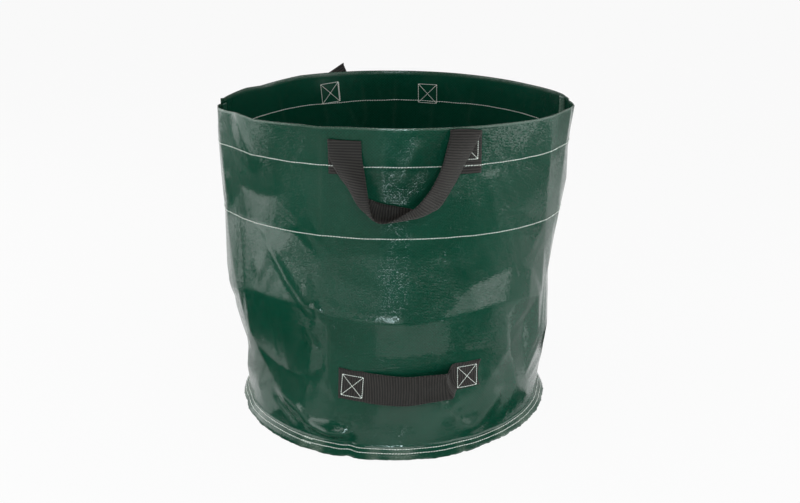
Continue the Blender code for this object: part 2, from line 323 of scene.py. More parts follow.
# %% Cards round the room, and the sky
ROOM = 2.6
CEILING = 2.4
SOFTBOX_TOP = 1.16
LIT_FROM = 0.09
LIT_TO = 0.45
SKY_LEVEL = 0.26
BEHIND_CAMERA = ((-ROOM, -ROOM), (ROOM, -ROOM))
ROOM_CARDS = [
    # name, both ends on the floor, heights from and to in metres, and paper
    ("room_foot", BEHIND_CAMERA, 0, LIT_FROM, BLACK),
    ("lit_room", BEHIND_CAMERA, LIT_FROM, LIT_TO, LIT_WALL),
    ("lit_room_right", ((0.83, -2.55), (1.80, -2.55)), 0.22, 0.8, LIT),
    ("dark_room", BEHIND_CAMERA, LIT_TO, CEILING, BLACK),
    ("side_of_the_room", ((-ROOM, -ROOM), (-ROOM, ROOM)), SOFTBOX_TOP, CEILING, BLACK),
    ("side_of_the_room", ((ROOM, -ROOM), (ROOM, ROOM)), SOFTBOX_TOP, CEILING, BLACK),
]
for name, ((x, y), (u, v)), low, high, paper in ROOM_CARDS:
    card(name, [(x, y, low), (u, v, low), (u, v, high), (x, y, high)], paper)
card("ceiling", [(x * ROOM, y * ROOM, CEILING) for x, y in CORNERS], BLACK)

world = bpy.data.worlds.new("studio")
world.use_nodes = True
bpy.context.scene.world = world
sky = Tree(world.node_tree)
seen = white_to_sight(sky)
background = world.node_tree.nodes["Background"]
sky.put(background.inputs["Color"], WHITE)
sky.put(background.inputs["Strength"], seen + (1 - seen) * SKY_LEVEL)
print(len(ROOM_CARDS), "cards and a ceiling stand round the room")

# %% [markdown]
# Two long softboxes stand low at the left and the right, and light the sides. A small, strong lamp
# behind the camera and below it draws the sparks on the weave in front, and a wide, weak one above
# it reaches down into the bag. Area lamps suit all four, because a shiny sheet shows a lamp's shape.

# %% Lamps
LAMPS = {
    "left_softbox": {"place": (-1.84, -0.16, 0.62), "size": (2.9, 1.08), "brightness": 2.25},
    "right_softbox": {"place": (1.70, -0.72, 0.62), "size": (2.3, 1.08), "brightness": 2.05},
    "key": {"place": (0.03, -2.10, 0.54), "size": (0.16, 0.30), "brightness": 50.0,
            "colour": (0.75, 0.97, 1.0)},
    "top_fill": {"place": (0.0, -2.2, 1.9), "size": (1.6, 0.8), "brightness": 3.4},
}
AIM = Vector((0, 0, 0.28))


def soft_lamp(name, place, size, brightness, colour=(1, 1, 1)):
    """An area lamp whose face has a given brightness, where 1 is a white wall's."""
    lamp = bpy.data.lights.new(name, "AREA")
    lamp.shape = "RECTANGLE"
    lamp.size, lamp.size_y = size
    lamp.energy = brightness * math.pi * size[0] * size[1]
    lamp.color = colour
    item = bpy.data.objects.new(name, lamp)
    item.location = place
    item.rotation_euler = (AIM - Vector(place)).to_track_quat("-Z", "Y").to_euler()
    bpy.context.scene.collection.objects.link(item)
    print(f"{name}: {lamp.energy:.1f} W")


for name, facts in LAMPS.items():
    soft_lamp(name, **facts)

# %% [markdown]
# Now the sewn form. The wall is round at the foot, where it is sewn to the base, and an oval at the
# rim, because the bag was stored flat and springs back that way. It could be modelled as a cylinder
# and pulled into shape, but a formula of an angle and a height gives every piece that touches the
# wall its exact place: stitches, handles and seams all ask the same function where the cloth is.

# %% Sizes of the bag, in metres
MM = 0.001
panel_low, panel_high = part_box("front_panel")
BAG_HEIGHT = panel_high[2]
RIM_HALF_WIDTH = (panel_high[0] - panel_low[0]) / 2
RIM_RIGHT = (panel_high[0] + panel_low[0]) / 2
RIM_FORWARD = 0.020  # the rim's middle stands this far before the foot's
RIM_HALF_DEPTH = 0.208
BACK_SHARPNESS = 1.2  # above 1, the back of the oval is a little pointed
SEAM_RADIUS = 0.252
FOOT_HEIGHT = 0.0159
LEFT_SEAM = -95.0
RIGHT_SEAM = 100.0
CUFF_DEPTH = 0.175
ROUND = 0.262  # of cloth to each radian round the bag
PROBE = 1e-4
print(f"Bag: {2000 * RIM_HALF_WIDTH:.0f} mm wide at the rim and {1000 * BAG_HEIGHT:.1f} mm high")


# %% The smooth wall
def openness(height):
    """How far the wall has opened from its round foot, 0, to its oval rim, 1."""
    share = np.clip((height - FOOT_HEIGHT) / (BAG_HEIGHT - FOOT_HEIGHT), 0, 1)
    return 1 - (1 - share) ** 2


def smooth_wall(angle, height):
    """Points on the wall's outer face. The angle is in degrees from the front, towards +X."""
    turn = np.radians(angle)
    opened = openness(height)
    forward = np.cos(turn)
    behind = forward < 0
    rim_depth = np.where(behind, RIM_HALF_DEPTH + RIM_FORWARD, RIM_HALF_DEPTH - RIM_FORWARD)
    sharpness = np.where(behind, 1 + (BACK_SHARPNESS - 1) * opened, 1)
    reach = np.sign(forward) * np.abs(forward) ** sharpness
    half_width = SEAM_RADIUS + (RIM_HALF_WIDTH - SEAM_RADIUS) * opened
    half_depth = SEAM_RADIUS + (rim_depth - SEAM_RADIUS) * opened
    across = RIM_RIGHT * opened + half_width * np.sin(turn)
    return np.stack([across, -RIM_FORWARD * opened - half_depth * reach, height + 0 * angle], -1)


def unit(vectors):
    return vectors / np.linalg.norm(vectors, axis=-1, keepdims=True)


def outward(angle, height):
    """The smooth wall's normals."""
    step = np.degrees(PROBE / ROUND)
    along = smooth_wall(angle + step, height) - smooth_wall(angle - step, height)
    inside = np.clip(height, FOOT_HEIGHT + PROBE, BAG_HEIGHT - PROBE)
    up = smooth_wall(angle, inside + PROBE) - smooth_wall(angle, inside - PROBE)
    return unit(np.cross(along, up))


def along_path(points):
    """The distance along a path at each of its points."""
    steps = np.linalg.norm(np.diff(points, axis=0), axis=-1)
    return np.concatenate([[0], np.cumsum(steps)])


def read_path(places, travel, values):
    """The values of a path's points, read at other distances along it."""
    return np.stack([np.interp(places, travel, column) for column in values.T], -1)


rim_turns = np.linspace(0, 360, 361)
rim_ring = smooth_wall(rim_turns, np.full_like(rim_turns, BAG_HEIGHT))
print(f"The rim measures {1000 * along_path(rim_ring)[-1]:.0f} mm round")

# %% [markdown]
# Laminated plastic sheet does not drape like fabric. It is stiff and hardly stretches, so it bends
# in flat facets that meet in sharp lines. A cloth simulation gives soft waves, and sculpting can't
# be repeated, so each fold is written as a line on the wall with a height, and the sheet falls away
# from that line in a straight flank on each side. Broad hollows are bell shaped.


# %% How one fold lifts the sheet
FOLD_TOP = 1.2 * MM  # how far a fold's edge is rounded
FLANK_CURVE = 1.1  # 1 is a straight flank
CREASE_REACH = 2.2 * MM  # how far from its line a crease whitens


def around(angle, middle):
    """Degrees from a middle, the short way round."""
    return (angle - middle + 180) % 360 - 180


def bell(angle, middle, spread):
    """1 at one direction, and next to nothing at twice the spread from it."""
    return np.exp(-((around(angle, middle) / spread) ** 2))


def soft_step(value, low, high):
    share = np.clip((value - low) / (high - low), 0, 1)
    return share * share * (3 - 2 * share)


def fold(angle, height, line, lift, left, right, fade=0.25):
    """A fold along a line of (degrees, mm): how far it moves the sheet out, and how close it is.

    left and right are the widths of its flanks, in mm, seen along the line.
    """
    middle = line[0][0]
    across = np.radians(around(angle, middle)) * ROUND
    points = np.array([(np.radians(around(a, middle)) * ROUND, h * MM) for a, h in line])
    steps = np.linalg.norm(np.diff(points, axis=0), axis=1)
    starts = np.concatenate([[0], np.cumsum(steps)])
    best = np.full(np.shape(across), np.inf)
    side = np.zeros_like(best)
    travelled = np.zeros_like(best)
    for start, end, length, begun in zip(points, points[1:], steps, starts):
        run = (end - start) / length
        ahead = (across - start[0]) * run[0] + (height - start[1]) * run[1]
        kept = np.clip(ahead, 0, length)
        aside = (height - start[1]) * run[0] - (across - start[0]) * run[1]
        distance = np.hypot(aside, ahead - kept)
        nearer = distance < best
        best = np.where(nearer, distance, best)
        side = np.where(nearer, aside, side)
        travelled = np.where(nearer, begun + kept, travelled)
    share = travelled / starts[-1]
    ends = soft_step(share, 0, fade) * soft_step(1 - share, 0, fade)
    width = np.where(side > 0, left, right) * MM
    flank = np.clip(1 - np.sqrt(best ** 2 + FOLD_TOP ** 2) / width, 0, 1)
    return lift * MM * ends * flank ** FLANK_CURVE, ends * np.exp(-((best / CREASE_REACH) ** 2))


def hollow(angle, height, middle, level, lift, wide, tall):
    """A bell-shaped swelling, or a hollow if its lift is negative; sizes in mm."""
    across = np.radians(around(angle, middle)) * ROUND / (wide * MM)
    up = (height - level * MM) / (tall * MM)
    return lift * MM * np.exp(-(across ** 2 + up ** 2))


steepest = math.degrees(4 / 40 * FLANK_CURVE)
print(f"A fold of 4 mm with flanks of 40 mm tilts the sheet by up to {steepest:.1f} degrees")

# %% [markdown]
# The large creases part the wall into flat facets, and each facet mirrors one thing, so it has one
# tone. Each crease is a line of points on the wall (degrees, mm up, mm out of the smooth wall). The
# points are joined into triangles by Blender's own Delaunay helper, which is how a sheet that
# doesn't stretch takes up three fixed points: flat. The net of triangles goes all the way round, and
# its two ends meet behind the left seam. The back's creases are guessed in the front's manner.

# %% Creases that part the wall into facets
NET_MIDDLE = 55
NET_EDGE = [(524, 0), (450, -1), (380, 1), (262, 4), (150, -3), (12, 0)]
CREASES = {
    "rim": [(-125, 524, 0), (-100, 524, 0), (-81, 524, 0), (-73, 524, 5), (-60, 524, -1), (-45, 524, 0),
            (-22, 524, 0), (0, 524, 0), (22, 524, 0), (45, 524, -1), (57, 524, 1), (68, 524, 1),
            (78, 524, 3.5), (90, 524, -7), (105, 524, -1), (130, 524, 0)],
    "foot": [(-125, 12, 0), (-90, 12, 0), (-60, 12, 0), (-30, 12, 0), (0, 12, 0), (30, 12, 0),
             (60, 12, 0), (90, 12, 0), (130, 12, 0)],
    "back rim": [(130, 524, 0), (150, 524, 0), (168, 524, 0), (185, 524, 0), (205, 524, 0),
                 (235, 524, 0)],
    "back foot": [(130, 12, 0), (150, 12, 0), (170, 12, 0), (190, 12, 0), (210, 12, 0), (235, 12, 0)],
    "behind": [(NET_MIDDLE - 180, up, out) for up, out in NET_EDGE],
    "behind again": [(NET_MIDDLE + 180, up, out) for up, out in NET_EDGE],
    "back upper": [(118, 460, -2), (138, 448, 1.5), (156, 466, -2), (176, 452, 0.5), (197, 464, -2.5),
                   (217, 450, 1.5)],
    "back middle": [(120, 330, -5), (138, 352, 0), (158, 326, -4), (178, 342, 0), (198, 322, -6),
                    (220, 346, -1)],
    "back waist": [(114, 240, -4), (130, 228, 6), (146, 222, 9), (163, 233, 7), (180, 219, 4), (198, 215, 9),
                   (214, 226, 11), (228, 240, 6)],
    "back valley": [(163, 233, 7), (158, 180, -3), (164, 130, -6), (160, 70, -1)],
    "back shelf": [(122, 130, -5), (140, 150, -5), (158, 180, -3)],
    "back flank": [(198, 215, 9), (192, 160, 2), (186, 100, -4), (190, 50, 0)],
    "back dip": [(186, 100, -4), (205, 120, -7), (222, 96, -2), (229, 160, -4)],
    "left seam": [(-100, 440, 0), (-102, 350, 0), (-100, 262, 5), (-102, 190, 2), (-100, 120, -6),
                  (-102, 60, 0)],
    "right seam": [(100, 480, -3), (102, 400, -3), (100, 330, -6), (100, 240, -10), (100, 180, -6),
                   (102, 100, 0)],
    "left side": [(-82, 460, 1.5), (-82, 400, 1.5), (-82, 340, 1), (-81, 287, 5), (-81, 247, 8),
                  (-81, 214, 3), (-80, 171, 2), (-80, 143, -2), (-81, 117, -8), (-81, 90, -7),
                  (-81, 55, 0)],
    "left corner": [(-73, 524, 5), (-72, 460, 5), (-71, 405, 4), (-74, 340, 2)],
    "left waist": [(-81, 247, 8), (-73, 222, 10), (-62, 232, 14), (-50.7, 241.5, 15), (-40, 239, 13),
                   (-29.7, 236.6, 10.5)],
    "diagonal": [(-46, 340, 0), (-44.5, 322, 2.5), (-35.4, 267, 7.5), (-29.7, 236.6, 9), (-23.2, 195.5, 5),
                 (-20, 160, 0)],
    "dent bottom": [(-66, 415, -2), (-60, 404, -6), (-50, 397, -9), (-40, 400, -7), (-33, 415, -3)],
    "dent top": [(-64, 470, -1), (-52, 478, -3), (-38, 470, -3), (-30, 450, -1.5)],
    "grey band": [(-74, 372, 0), (-62, 358, -4), (-48, 350, -4.5), (-34, 348, -4.5), (-28, 380, -1)],
    "dark facet": [(-73, 222, 7.5), (-68, 200, 5), (-65.1, 174.6, 3), (-58, 130, -2), (-50.5, 88, -5)],
    "lower valley": [(-50.5, 88, -5), (-46, 115, -7), (-36, 108, -6), (-27, 120, -2), (-20, 160, 0)],
    "lower ridge": [(-50.5, 88, -5), (-44, 72, -1), (-34.8, 54, 1), (-26.3, 28, 1)],
    "left foot": [(-70, 105, -8), (-66, 70, -5), (-60, 40, -1)],
    "front waist": [(-29.7, 236.6, 10.5), (-18, 222, 8.5), (-12, 219, 6.5), (0, 214, 4.5), (10, 218, 4.5),
                    (19.4, 223, 5.5)],
    "front upper": [(-15, 455, -2), (0, 455, -2.5), (15, 455, -2), (30, 440, 0), (42, 470, 0)],
    "front middle": [(-28, 300, 0), (-15, 330, -1), (0, 320, 0), (15, 320, 0), (30, 330, 0), (45, 395, 0)],
    "front lower": [(-12, 165, -1), (0, 160, -1), (12, 165, -1), (30, 160, -1)],
    "front foot": [(-20, 80, 0), (0, 90, 0), (18, 95, 0), (34, 95, 0)],
    "right waist": [(19.4, 223, 5.5), (27, 229, 8), (38, 235, 10), (50, 229, 6.5), (57.7, 224.5, 1),
                    (66, 232, -8), (81, 240, -18)],
    "right side": [(81, 479, -3), (81, 450, -5), (81, 397, -3), (81, 342, -9), (81, 304, -12),
                   (81, 261, -15), (81, 240, -18), (81, 223, -14), (81, 187, -8.5), (81, 143, -3),
                   (81, 79, -1), (81, 37, -3)],
    "right corner": [(57, 524, 1), (57, 450, 1), (57, 400, 0), (58, 350, -1), (60, 300, -4)],
    "right fold": [(38, 235, 10), (43, 155, 4), (48, 105, 1), (53.3, 57, 0)],
    "right valley": [(50, 229, 6.5), (51, 190, -3), (52, 155, -6), (57, 100, -4), (60, 60, -2)],
    "right shelf": [(52, 155, -5), (57, 151, -3), (63, 148, 0), (71, 145, 1), (81, 143, -3)],
    "right slope": [(25, 268, 1), (40, 290, 1.5), (52, 280, -1.5)],
    "right flank": [(70, 450, -1), (68, 400, -1), (68, 330, -6)],
}
print(len(CREASES), "lines of creases")

# %% The facets between the creases
NET_STEP = 24 * MM
NET_FLAT = 0.6  # 1 makes each triangle flat, 0 lets it follow the wall's curve


def net_points():
    """The creases' points, close enough together that triangles follow them, each one once."""
    points = {}
    for line in CREASES.values():
        for (a, h, out), (b, k, outer) in zip(line, line[1:]):
            length = math.hypot(math.radians(b - a) * ROUND, (k - h) * MM)
            pieces = max(1, round(length / NET_STEP))
            for piece in range(pieces + 1):
                share = piece / pieces
                place = (round(a + (b - a) * share, 2), round(h + (k - h) * share, 1))
                points.setdefault(place, out + (outer - out) * share)
    return points


def facets(angle, height):
    """How far the facets lie out of the smooth wall, for a block of angles and heights."""
    angle = around(angle, NET_MIDDLE) + NET_MIDDLE
    net = net_points()
    places = [Vector((math.radians(a) * ROUND, h * MM)) for a, h in net]
    joined = delaunay_2d_cdt(places, [], [], 0, PROBE)
    first = [origins[0] for origins in joined[3]]
    turns = np.array([list(net)[k][0] for k in first])
    levels = np.array([list(net)[k][1] for k in first]) * MM
    lifts = np.array([list(net.values())[k] for k in first]) * MM
    corners = smooth_wall(turns, levels) + outward(turns, levels) * lifts[:, None]
    across = np.radians(angle) * ROUND
    base = smooth_wall(angle, height)
    normals = outward(angle, height)
    out = np.zeros(angle.shape)
    for face in joined[2]:
        a, b, c = [np.array(joined[0][k]) for k in face]
        area = (b[0] - a[0]) * (c[1] - a[1]) - (c[0] - a[0]) * (b[1] - a[1])
        if abs(area) < PROBE ** 2:
            continue
        to_b = ((across - a[0]) * (c[1] - a[1]) - (c[0] - a[0]) * (height - a[1])) / area
        to_c = ((b[0] - a[0]) * (height - a[1]) - (across - a[0]) * (b[1] - a[1])) / area
        inside = (to_b >= -PROBE) & (to_c >= -PROBE) & (to_b + to_c <= 1 + PROBE)
        shares = np.stack([1 - to_b - to_c, to_b, to_c], -1)[inside]
        curved = shares @ lifts[list(face)]
        flat = ((shares @ corners[list(face)] - base[inside]) * normals[inside]).sum(-1)
        out[inside] = curved + (flat - curved) * NET_FLAT
    return out


print("The net between the creases has", len(net_points()), "points")

# %% [markdown]
# Between the large creases run finer folds, which catch the light as thin lines, and broad hollows, which
# only bend what the sheet mirrors. More points in the net could stand for them, but a line with a lift is
# easier to move, and the folds were moved often to match the picture.

# %% Finer folds and broad hollows
FOLDS = [
    # a line of (degrees, mm up), and a lift and the widths of two flanks in mm; the last are behind
    {"line": [(-60, 530), (-55, 490), (-47.5, 438)], "lift": 3.4, "left": 14, "right": 30},
    {"line": [(-22.8, 519), (-23.4, 414.8), (-24, 345)], "lift": 1.1, "left": 13, "right": 22},
    {"line": [(-3.6, 519), (-3.7, 404), (-4.4, 330)], "lift": 0.9, "left": 12, "right": 16},
    {"line": [(-22, 235), (-21.5, 175), (-23.4, 116)], "lift": 1.8, "left": 14, "right": 10},
    {"line": [(14, 100), (23, 52), (34, 18)], "lift": 2.4, "left": 26, "right": 20},
    {"line": [(-52, 66), (-43, 44), (-36, 25)], "lift": -4.5, "left": 16, "right": 12},
    {"line": [(-38, 62), (-33, 44), (-30, 25)], "lift": 3.5, "left": 10, "right": 16},
    {"line": [(-32, 36), (-24, 29), (-15, 32)], "lift": 6.0, "left": 13, "right": 10, "fade": 0.15},
    {"line": [(44, 90), (36, 48), (30, 14)], "lift": 2.0, "left": 18, "right": 24},
    {"line": [(-15, 223), (-9, 219.5), (-2, 217), (4, 217)], "lift": 1.6, "left": 11, "right": 14,
     "fade": 0.15},
    {"line": [(8, 508), (4, 465), (0, 425)], "lift": 1.3, "left": 14, "right": 14},
    {"line": [(-26.5, 247), (-24.5, 230), (-24, 210)], "lift": 3.4, "left": 8, "right": 14, "fade": 0.3},
    {"line": [(-31, 202), (-28, 182), (-26, 163)], "lift": 2.8, "left": 7, "right": 14, "fade": 0.3},
    {"line": [(-45, 335), (-44.5, 322), (-35.4, 267), (-29.7, 236.6), (-24, 200)], "lift": 2.4,
     "left": 11, "right": 7},
    {"line": [(132, 330), (141, 250), (139, 150), (150, 40)], "lift": 3.0, "left": 44, "right": 34},
    {"line": [(215, 345), (208, 250), (214, 160), (205, 40)], "lift": 3.5, "left": 40, "right": 52},
    {"line": [(168, 225), (182, 140), (178, 50)], "lift": 2.4, "left": 30, "right": 44},
    {"line": [(120, 440), (134, 392), (128, 350)], "lift": 3.2, "left": 30, "right": 40},
    {"line": [(180, 516), (181, 420), (180, 340)], "lift": 2.4, "left": 14, "right": 26},
    {"line": [(150, 520), (153, 440), (149, 345)], "lift": 3.2, "left": 22, "right": 40},
    {"line": [(166, 520), (167, 430), (171, 350)], "lift": -2.8, "left": 32, "right": 18},
    {"line": [(193, 520), (191, 440), (196, 345)], "lift": 3.4, "left": 36, "right": 20},
    {"line": [(208, 520), (206, 430), (211, 350)], "lift": -3.0, "left": 18, "right": 34},
    {"line": [(226, 512), (223, 440), (229, 345)], "lift": 3.0, "left": 30, "right": 22},
    {"line": [(199, 470), (194, 420), (187, 380)], "lift": 2.6, "left": 12, "right": 18},
]
HOLLOWS = [
    # degrees, mm up, mm out, and mm wide and tall
    (3, 52, -2.5, 26, 17), (26, 55, -4.0, 20, 20), (-23, 35, 7.0, 20, 10), (17, 60, 2.5, 18, 22),
    (20, 420, 2.0, 70, 60), (150, 130, -6, 60, 50), (200, 300, -5, 60, 40), (240, 140, -5, 50, 50),
    (168, 420, 3, 80, 50),
]
print(len(FOLDS), "folds and", len(HOLLOWS), "hollows")

# %% [markdown]
# Handling leaves small crumples everywhere. They are too many to write down one by one, so chance
# places them, from a seed that gives the same bag each run. A noise texture could move the points
# too, but noise is round and soft, and a crumple is a short, straight fold like the larger ones.

# %% Small crumples all over, from handling
CRUMPLES = 170
CRUMPLE_TURNS = (-95, 265)  # degrees; the other sizes are in mm
CRUMPLE_LEVELS = (25, 500)
CRUMPLE_LENGTHS = (35, 120)
CRUMPLE_LIFTS = (0.5, 2.0)
CRUMPLE_FLANKS = (10, 34)
CRUMPLE_FADE = 0.45
CRUMPLE_BEND = 3  # degrees by which its far end may stray
CUFF_LEVEL = 345
CUFF_CALM = 0.5
WALL_CALM = 0.9
FRONT_HALF = 75
FRONT_CALM = 0.5
luck = np.random.default_rng(11)


def crumple():
    """One small fold at a chance place and slant, lower on the doubled cuff and at the front."""
    angle = luck.uniform(*CRUMPLE_TURNS)
    level = luck.uniform(*CRUMPLE_LEVELS)
    slant = luck.uniform(0, math.pi)
    length = luck.uniform(*CRUMPLE_LENGTHS)
    turn = math.degrees(length * MM * math.cos(slant) / ROUND)
    rise = length * math.sin(slant)
    calm = CUFF_CALM if level > CUFF_LEVEL else WALL_CALM
    if abs(angle) < FRONT_HALF:
        calm *= FRONT_CALM
    end = angle + turn + luck.uniform(-CRUMPLE_BEND, CRUMPLE_BEND)
    return {
        "line": [(angle, level), (angle + turn / 2, level + rise / 2), (end, level + rise)],
        "lift": calm * luck.uniform(*CRUMPLE_LIFTS) * luck.choice([-1, 1]),
        "left": luck.uniform(*CRUMPLE_FLANKS), "right": luck.uniform(*CRUMPLE_FLANKS),
        "fade": CRUMPLE_FADE,
    }


SMALL_FOLDS = [crumple() for _ in range(CRUMPLES)]
print(CRUMPLES, "crumples of up to", max(CRUMPLE_LENGTHS), "mm")

# %% All that moves the sheet
STITCHED_HEIGHTS = (0.4615, 0.3505)
SMALL_SHARPNESS = 0.35
PUCKER_LIFT = 0.45 * MM
PUCKER_REACH = 0.009
SEAM_SINKS = 1.3 * MM
SEAM_REACH = 0.005
WAVES = {
    # how often each part of a wave rises in a turn, and the seed that shifts the parts
    "flange slope": ((7, 11, 17, 23, 31), 2), "seam": ((3, 5, 9, 14, 26), 3),
    "frayed edge": ((29, 47, 83, 151), 4), "pucker": ((97, 131, 173, 211), 5),
    "scuffs": ((5, 8, 13, 21, 34), 8), "cuff row": ((11, 17, 29, 43), 9),
    "flange row": ((6, 10, 15, 22), 10),
}


def ripple(angle, wave):
    """A wave round the bag with whole numbers of turns, so that it closes; from -1 to 1."""
    counts, seed = WAVES[wave]
    phases = np.random.default_rng(seed).uniform(0, 2 * np.pi, len(counts))
    turn = np.radians(angle)
    return sum(np.sin(count * turn + phase) for count, phase in zip(counts, phases)) / len(counts)


def all_creases(angle, height):
    """How far folds move the sheet out of the smooth wall, and how sharply it is creased there."""
    out = facets(angle, height)
    sharp = np.zeros(angle.shape)
    for folds, sharpness in ((FOLDS, 1), (SMALL_FOLDS, SMALL_SHARPNESS)):
        for facts in folds:
            lift, near = fold(angle, height, **facts)
            out += lift
            sharp = np.maximum(sharp, sharpness * near)
    for facts in HOLLOWS:
        out += hollow(angle, height, *facts)
    for row in STITCHED_HEIGHTS:
        beside = np.exp(-(((height - row) / PUCKER_REACH) ** 2))
        out += PUCKER_LIFT * (ripple(angle, "pucker") * beside)
    for seam in (LEFT_SEAM, RIGHT_SEAM):
        out -= SEAM_SINKS * np.exp(-np.abs(np.radians(around(angle, seam))) * ROUND / SEAM_REACH)
    return out, sharp


WAIST = 0.214
waist_out = all_creases(np.zeros(1), np.full(1, WAIST))[0][0]
print(f"In front, the waist stands {1000 * waist_out:.1f} mm out of the smooth wall")

# %% [markdown]
# Every piece that touches the wall asks where its creases are, so they are worked out once, on a
# fine lattice of angles and heights, softened by a millimetre or two as a real crease is, and read
# back between its knots.

# %% The creases on a lattice
LATTICE_TURNS = 720
LATTICE_STEP = 2.1 * MM
LATTICE_ROWS = int(BAG_HEIGHT / LATTICE_STEP) + 3
LAST_ROW = LATTICE_ROWS - 1.001  # just short of the last, so that one lies above it
SOFTEN = (0.2, 0.6, 0.2)
HELD_FROM = 0.001
HELD_TO = 0.009


def softened(block):
    """A block averaged with its neighbours, round the bag and up it."""
    round_bag = sum(w * np.roll(block, k - 1, axis=1) for k, w in enumerate(SOFTEN))
    padded = np.pad(round_bag, ((1, 1), (0, 0)), mode="edge")
    return sum(w * padded[k: k + len(block)] for k, w in enumerate(SOFTEN))


lattice_angle = np.linspace(-180, 180, LATTICE_TURNS, endpoint=False)
lattice_height = np.arange(LATTICE_ROWS) * LATTICE_STEP
lattice = all_creases(*np.meshgrid(lattice_angle, lattice_height))
LATTICE_OUT, LATTICE_SHARP = (softened(block) for block in lattice)


def creases(angle, height):
    """Reads the lattice: how far out the sheet lies, and how sharply it is creased.

    The seam holds the foot, so no fold moves it out there.
    """
    angle, height = np.broadcast_arrays(np.asarray(angle, float), np.asarray(height, float))
    column = (angle + 180) % 360 * LATTICE_TURNS / 360
    row = np.clip(height / LATTICE_STEP, 0, LAST_ROW)
    left = np.floor(column).astype(int)
    low = np.floor(row).astype(int)
    right = (left + 1) % LATTICE_TURNS
    left = left % LATTICE_TURNS
    along = column - np.floor(column)
    up = row - low
    read = []
    for block in (LATTICE_OUT, LATTICE_SHARP):
        lower = block[low, left] * (1 - along) + block[low, right] * along
        upper = block[low + 1, left] * (1 - along) + block[low + 1, right] * along
        read.append(lower * (1 - up) + upper * up)
    freed = soft_step(height, FOOT_HEIGHT - HELD_FROM, FOOT_HEIGHT + HELD_TO)
    return read[0] * freed, read[1]


print(f"Folds move the sheet from {1000 * LATTICE_OUT.min():.1f} to {1000 * LATTICE_OUT.max():.1f} mm")

# %% [markdown]
# The base seam is a flange: the wall's foot and the edge of the base are turned outward together and
# sewn through twice. Cut cloth on the bias of a circle never lies flat, so the flange ripples, dips
# to the floor and rises again, and its raw edge frays in small steps. One function gives its
# surface, and the wall, the base and the two rows of stitches all lie on it.

# %% The flange
FLANGE_SLOPE = 44.0  # degrees below level
FLANGE_CLEAR = 0.0011
SLOPE_WANDER = 7
STEEP = {"at": -75, "spread": 22, "by": 10}
PINCH = {"at": -15.5, "spread": 2.0, "flatter": 16, "inward": 3.0 * MM}
SEAM_WANDER = 1.2 * MM
FRAYED = 1.6 * MM
LOWER_LAYER = 0.4 * MM
FLANGE_WIDTHS = [
    # degrees, and mm from the seam to the raw edge, where the two panels were cut uneven
    (-100, 17), (-85, 17), (-60, 21), (-35, 24.5), (-18, 22.5), (20, 22.5), (38, 19), (100, 18.5),
    (180, 20), (240, 18.5),
]
EDGE_STEPS = 2.5  # the frayed edge goes in and out by this many steps to each side


def read_round(angle, table):
    """A table of (degrees, mm) round the bag, read between its entries."""
    turn, size = np.array(table).T
    return np.interp(angle, turn, size, period=360) * MM


def flange_width(angle):
    return read_round(angle, FLANGE_WIDTHS)


def flange(angle, out, lift=0.0):
    """Points on the flange, a distance out from the wall's foot, and lifted off its upper face."""
    turn = np.radians(angle)
    slope = FLANGE_SLOPE + SLOPE_WANDER * ripple(angle, "flange slope")
    slope = slope + STEEP["by"] * bell(angle, STEEP["at"], STEEP["spread"])
    pinch = bell(angle, PINCH["at"], PINCH["spread"])
    slope = np.radians(slope - PINCH["flatter"] * pinch)
    radius = SEAM_RADIUS + SEAM_WANDER * ripple(angle, "seam") - PINCH["inward"] * pinch
    stairs = np.round(EDGE_STEPS * ripple(angle, "frayed edge")) / EDGE_STEPS
    reach = out + FRAYED * stairs * (out / flange_width(angle)) ** 3
    across = radius + reach * np.cos(slope) + lift * np.sin(slope)
    up = FOOT_HEIGHT - reach * np.sin(slope) + lift * np.cos(slope)
    lowest = FLANGE_CLEAR + np.maximum(lift, -LOWER_LAYER)
    up = np.where(up < lowest, lowest, up)
    return np.stack([across * np.sin(turn), -across * np.cos(turn), up], -1)


seam_turns = np.linspace(0, 360, 721)
flange_edge = flange(seam_turns, flange_width(seam_turns))
print(f"Flange edge {1000 * flange_edge[:, 2].min():.1f} to {1000 * flange_edge[:, 2].max():.1f} mm up")

# %% The rim and the creased wall
RIM_LEVELS = [
    # degrees, and mm above or below the rim's nominal height
    (-74, 0), (-64, 0.9), (-58, 2.4), (-48, -1.7), (-45, -1), (-29.5, 0.9), (-23.5, -0.6), (-15, 1.2),
    (1, 0.2), (33, -0.4), (49, -1.5), (58, -0.6), (65, 0.8), (76, 0), (90, -0.5), (106, -0.7),
    (127, -1.9), (157, -0.2), (178, 0.3), (196, 1.4), (204, 1.8), (216, 2.3), (234, -3.4), (242, -0.9),
    (249, -1.9), (260, -3.5), (266, 0),
]
SEAM_DROP = 9.0 * MM
DROP_FROM = 74
DROP_TO = 95
RIM_REACH = 12  # the higher, the less of the wall follows the rim up and down
FOOT_REACH = 0.03


def rim_drop(angle):
    """The rim's own small rise and fall, and its fall where the front panel meets the left seam."""
    to_seam = soft_step(-angle, DROP_FROM, DROP_TO) * (angle < 0)
    return read_round(angle, RIM_LEVELS) - SEAM_DROP * to_seam


def cloth(angle, height, lift=0.0):
    """Points on the creased wall's outer face, or lifted off it along its normal."""
    angle, height = np.broadcast_arrays(np.asarray(angle, float), np.asarray(height, float))
    out = creases(angle, height)[0] + lift
    points = smooth_wall(angle, height) + outward(angle, height) * out[..., None]
    foot = flange(angle, 0.0)
    sewn = 1 - soft_step(height, FOOT_HEIGHT, FOOT_HEIGHT + FOOT_REACH)
    points += (foot - smooth_wall(angle, np.full_like(height, FOOT_HEIGHT))) * sewn[..., None]
    points[..., 2] += rim_drop(angle) * (height / BAG_HEIGHT) ** RIM_REACH
    return points


rim = cloth(seam_turns, BAG_HEIGHT)
print(f"Rim {1000 * rim[:, 2].min():.1f} to {1000 * rim[:, 2].max():.1f} mm up")

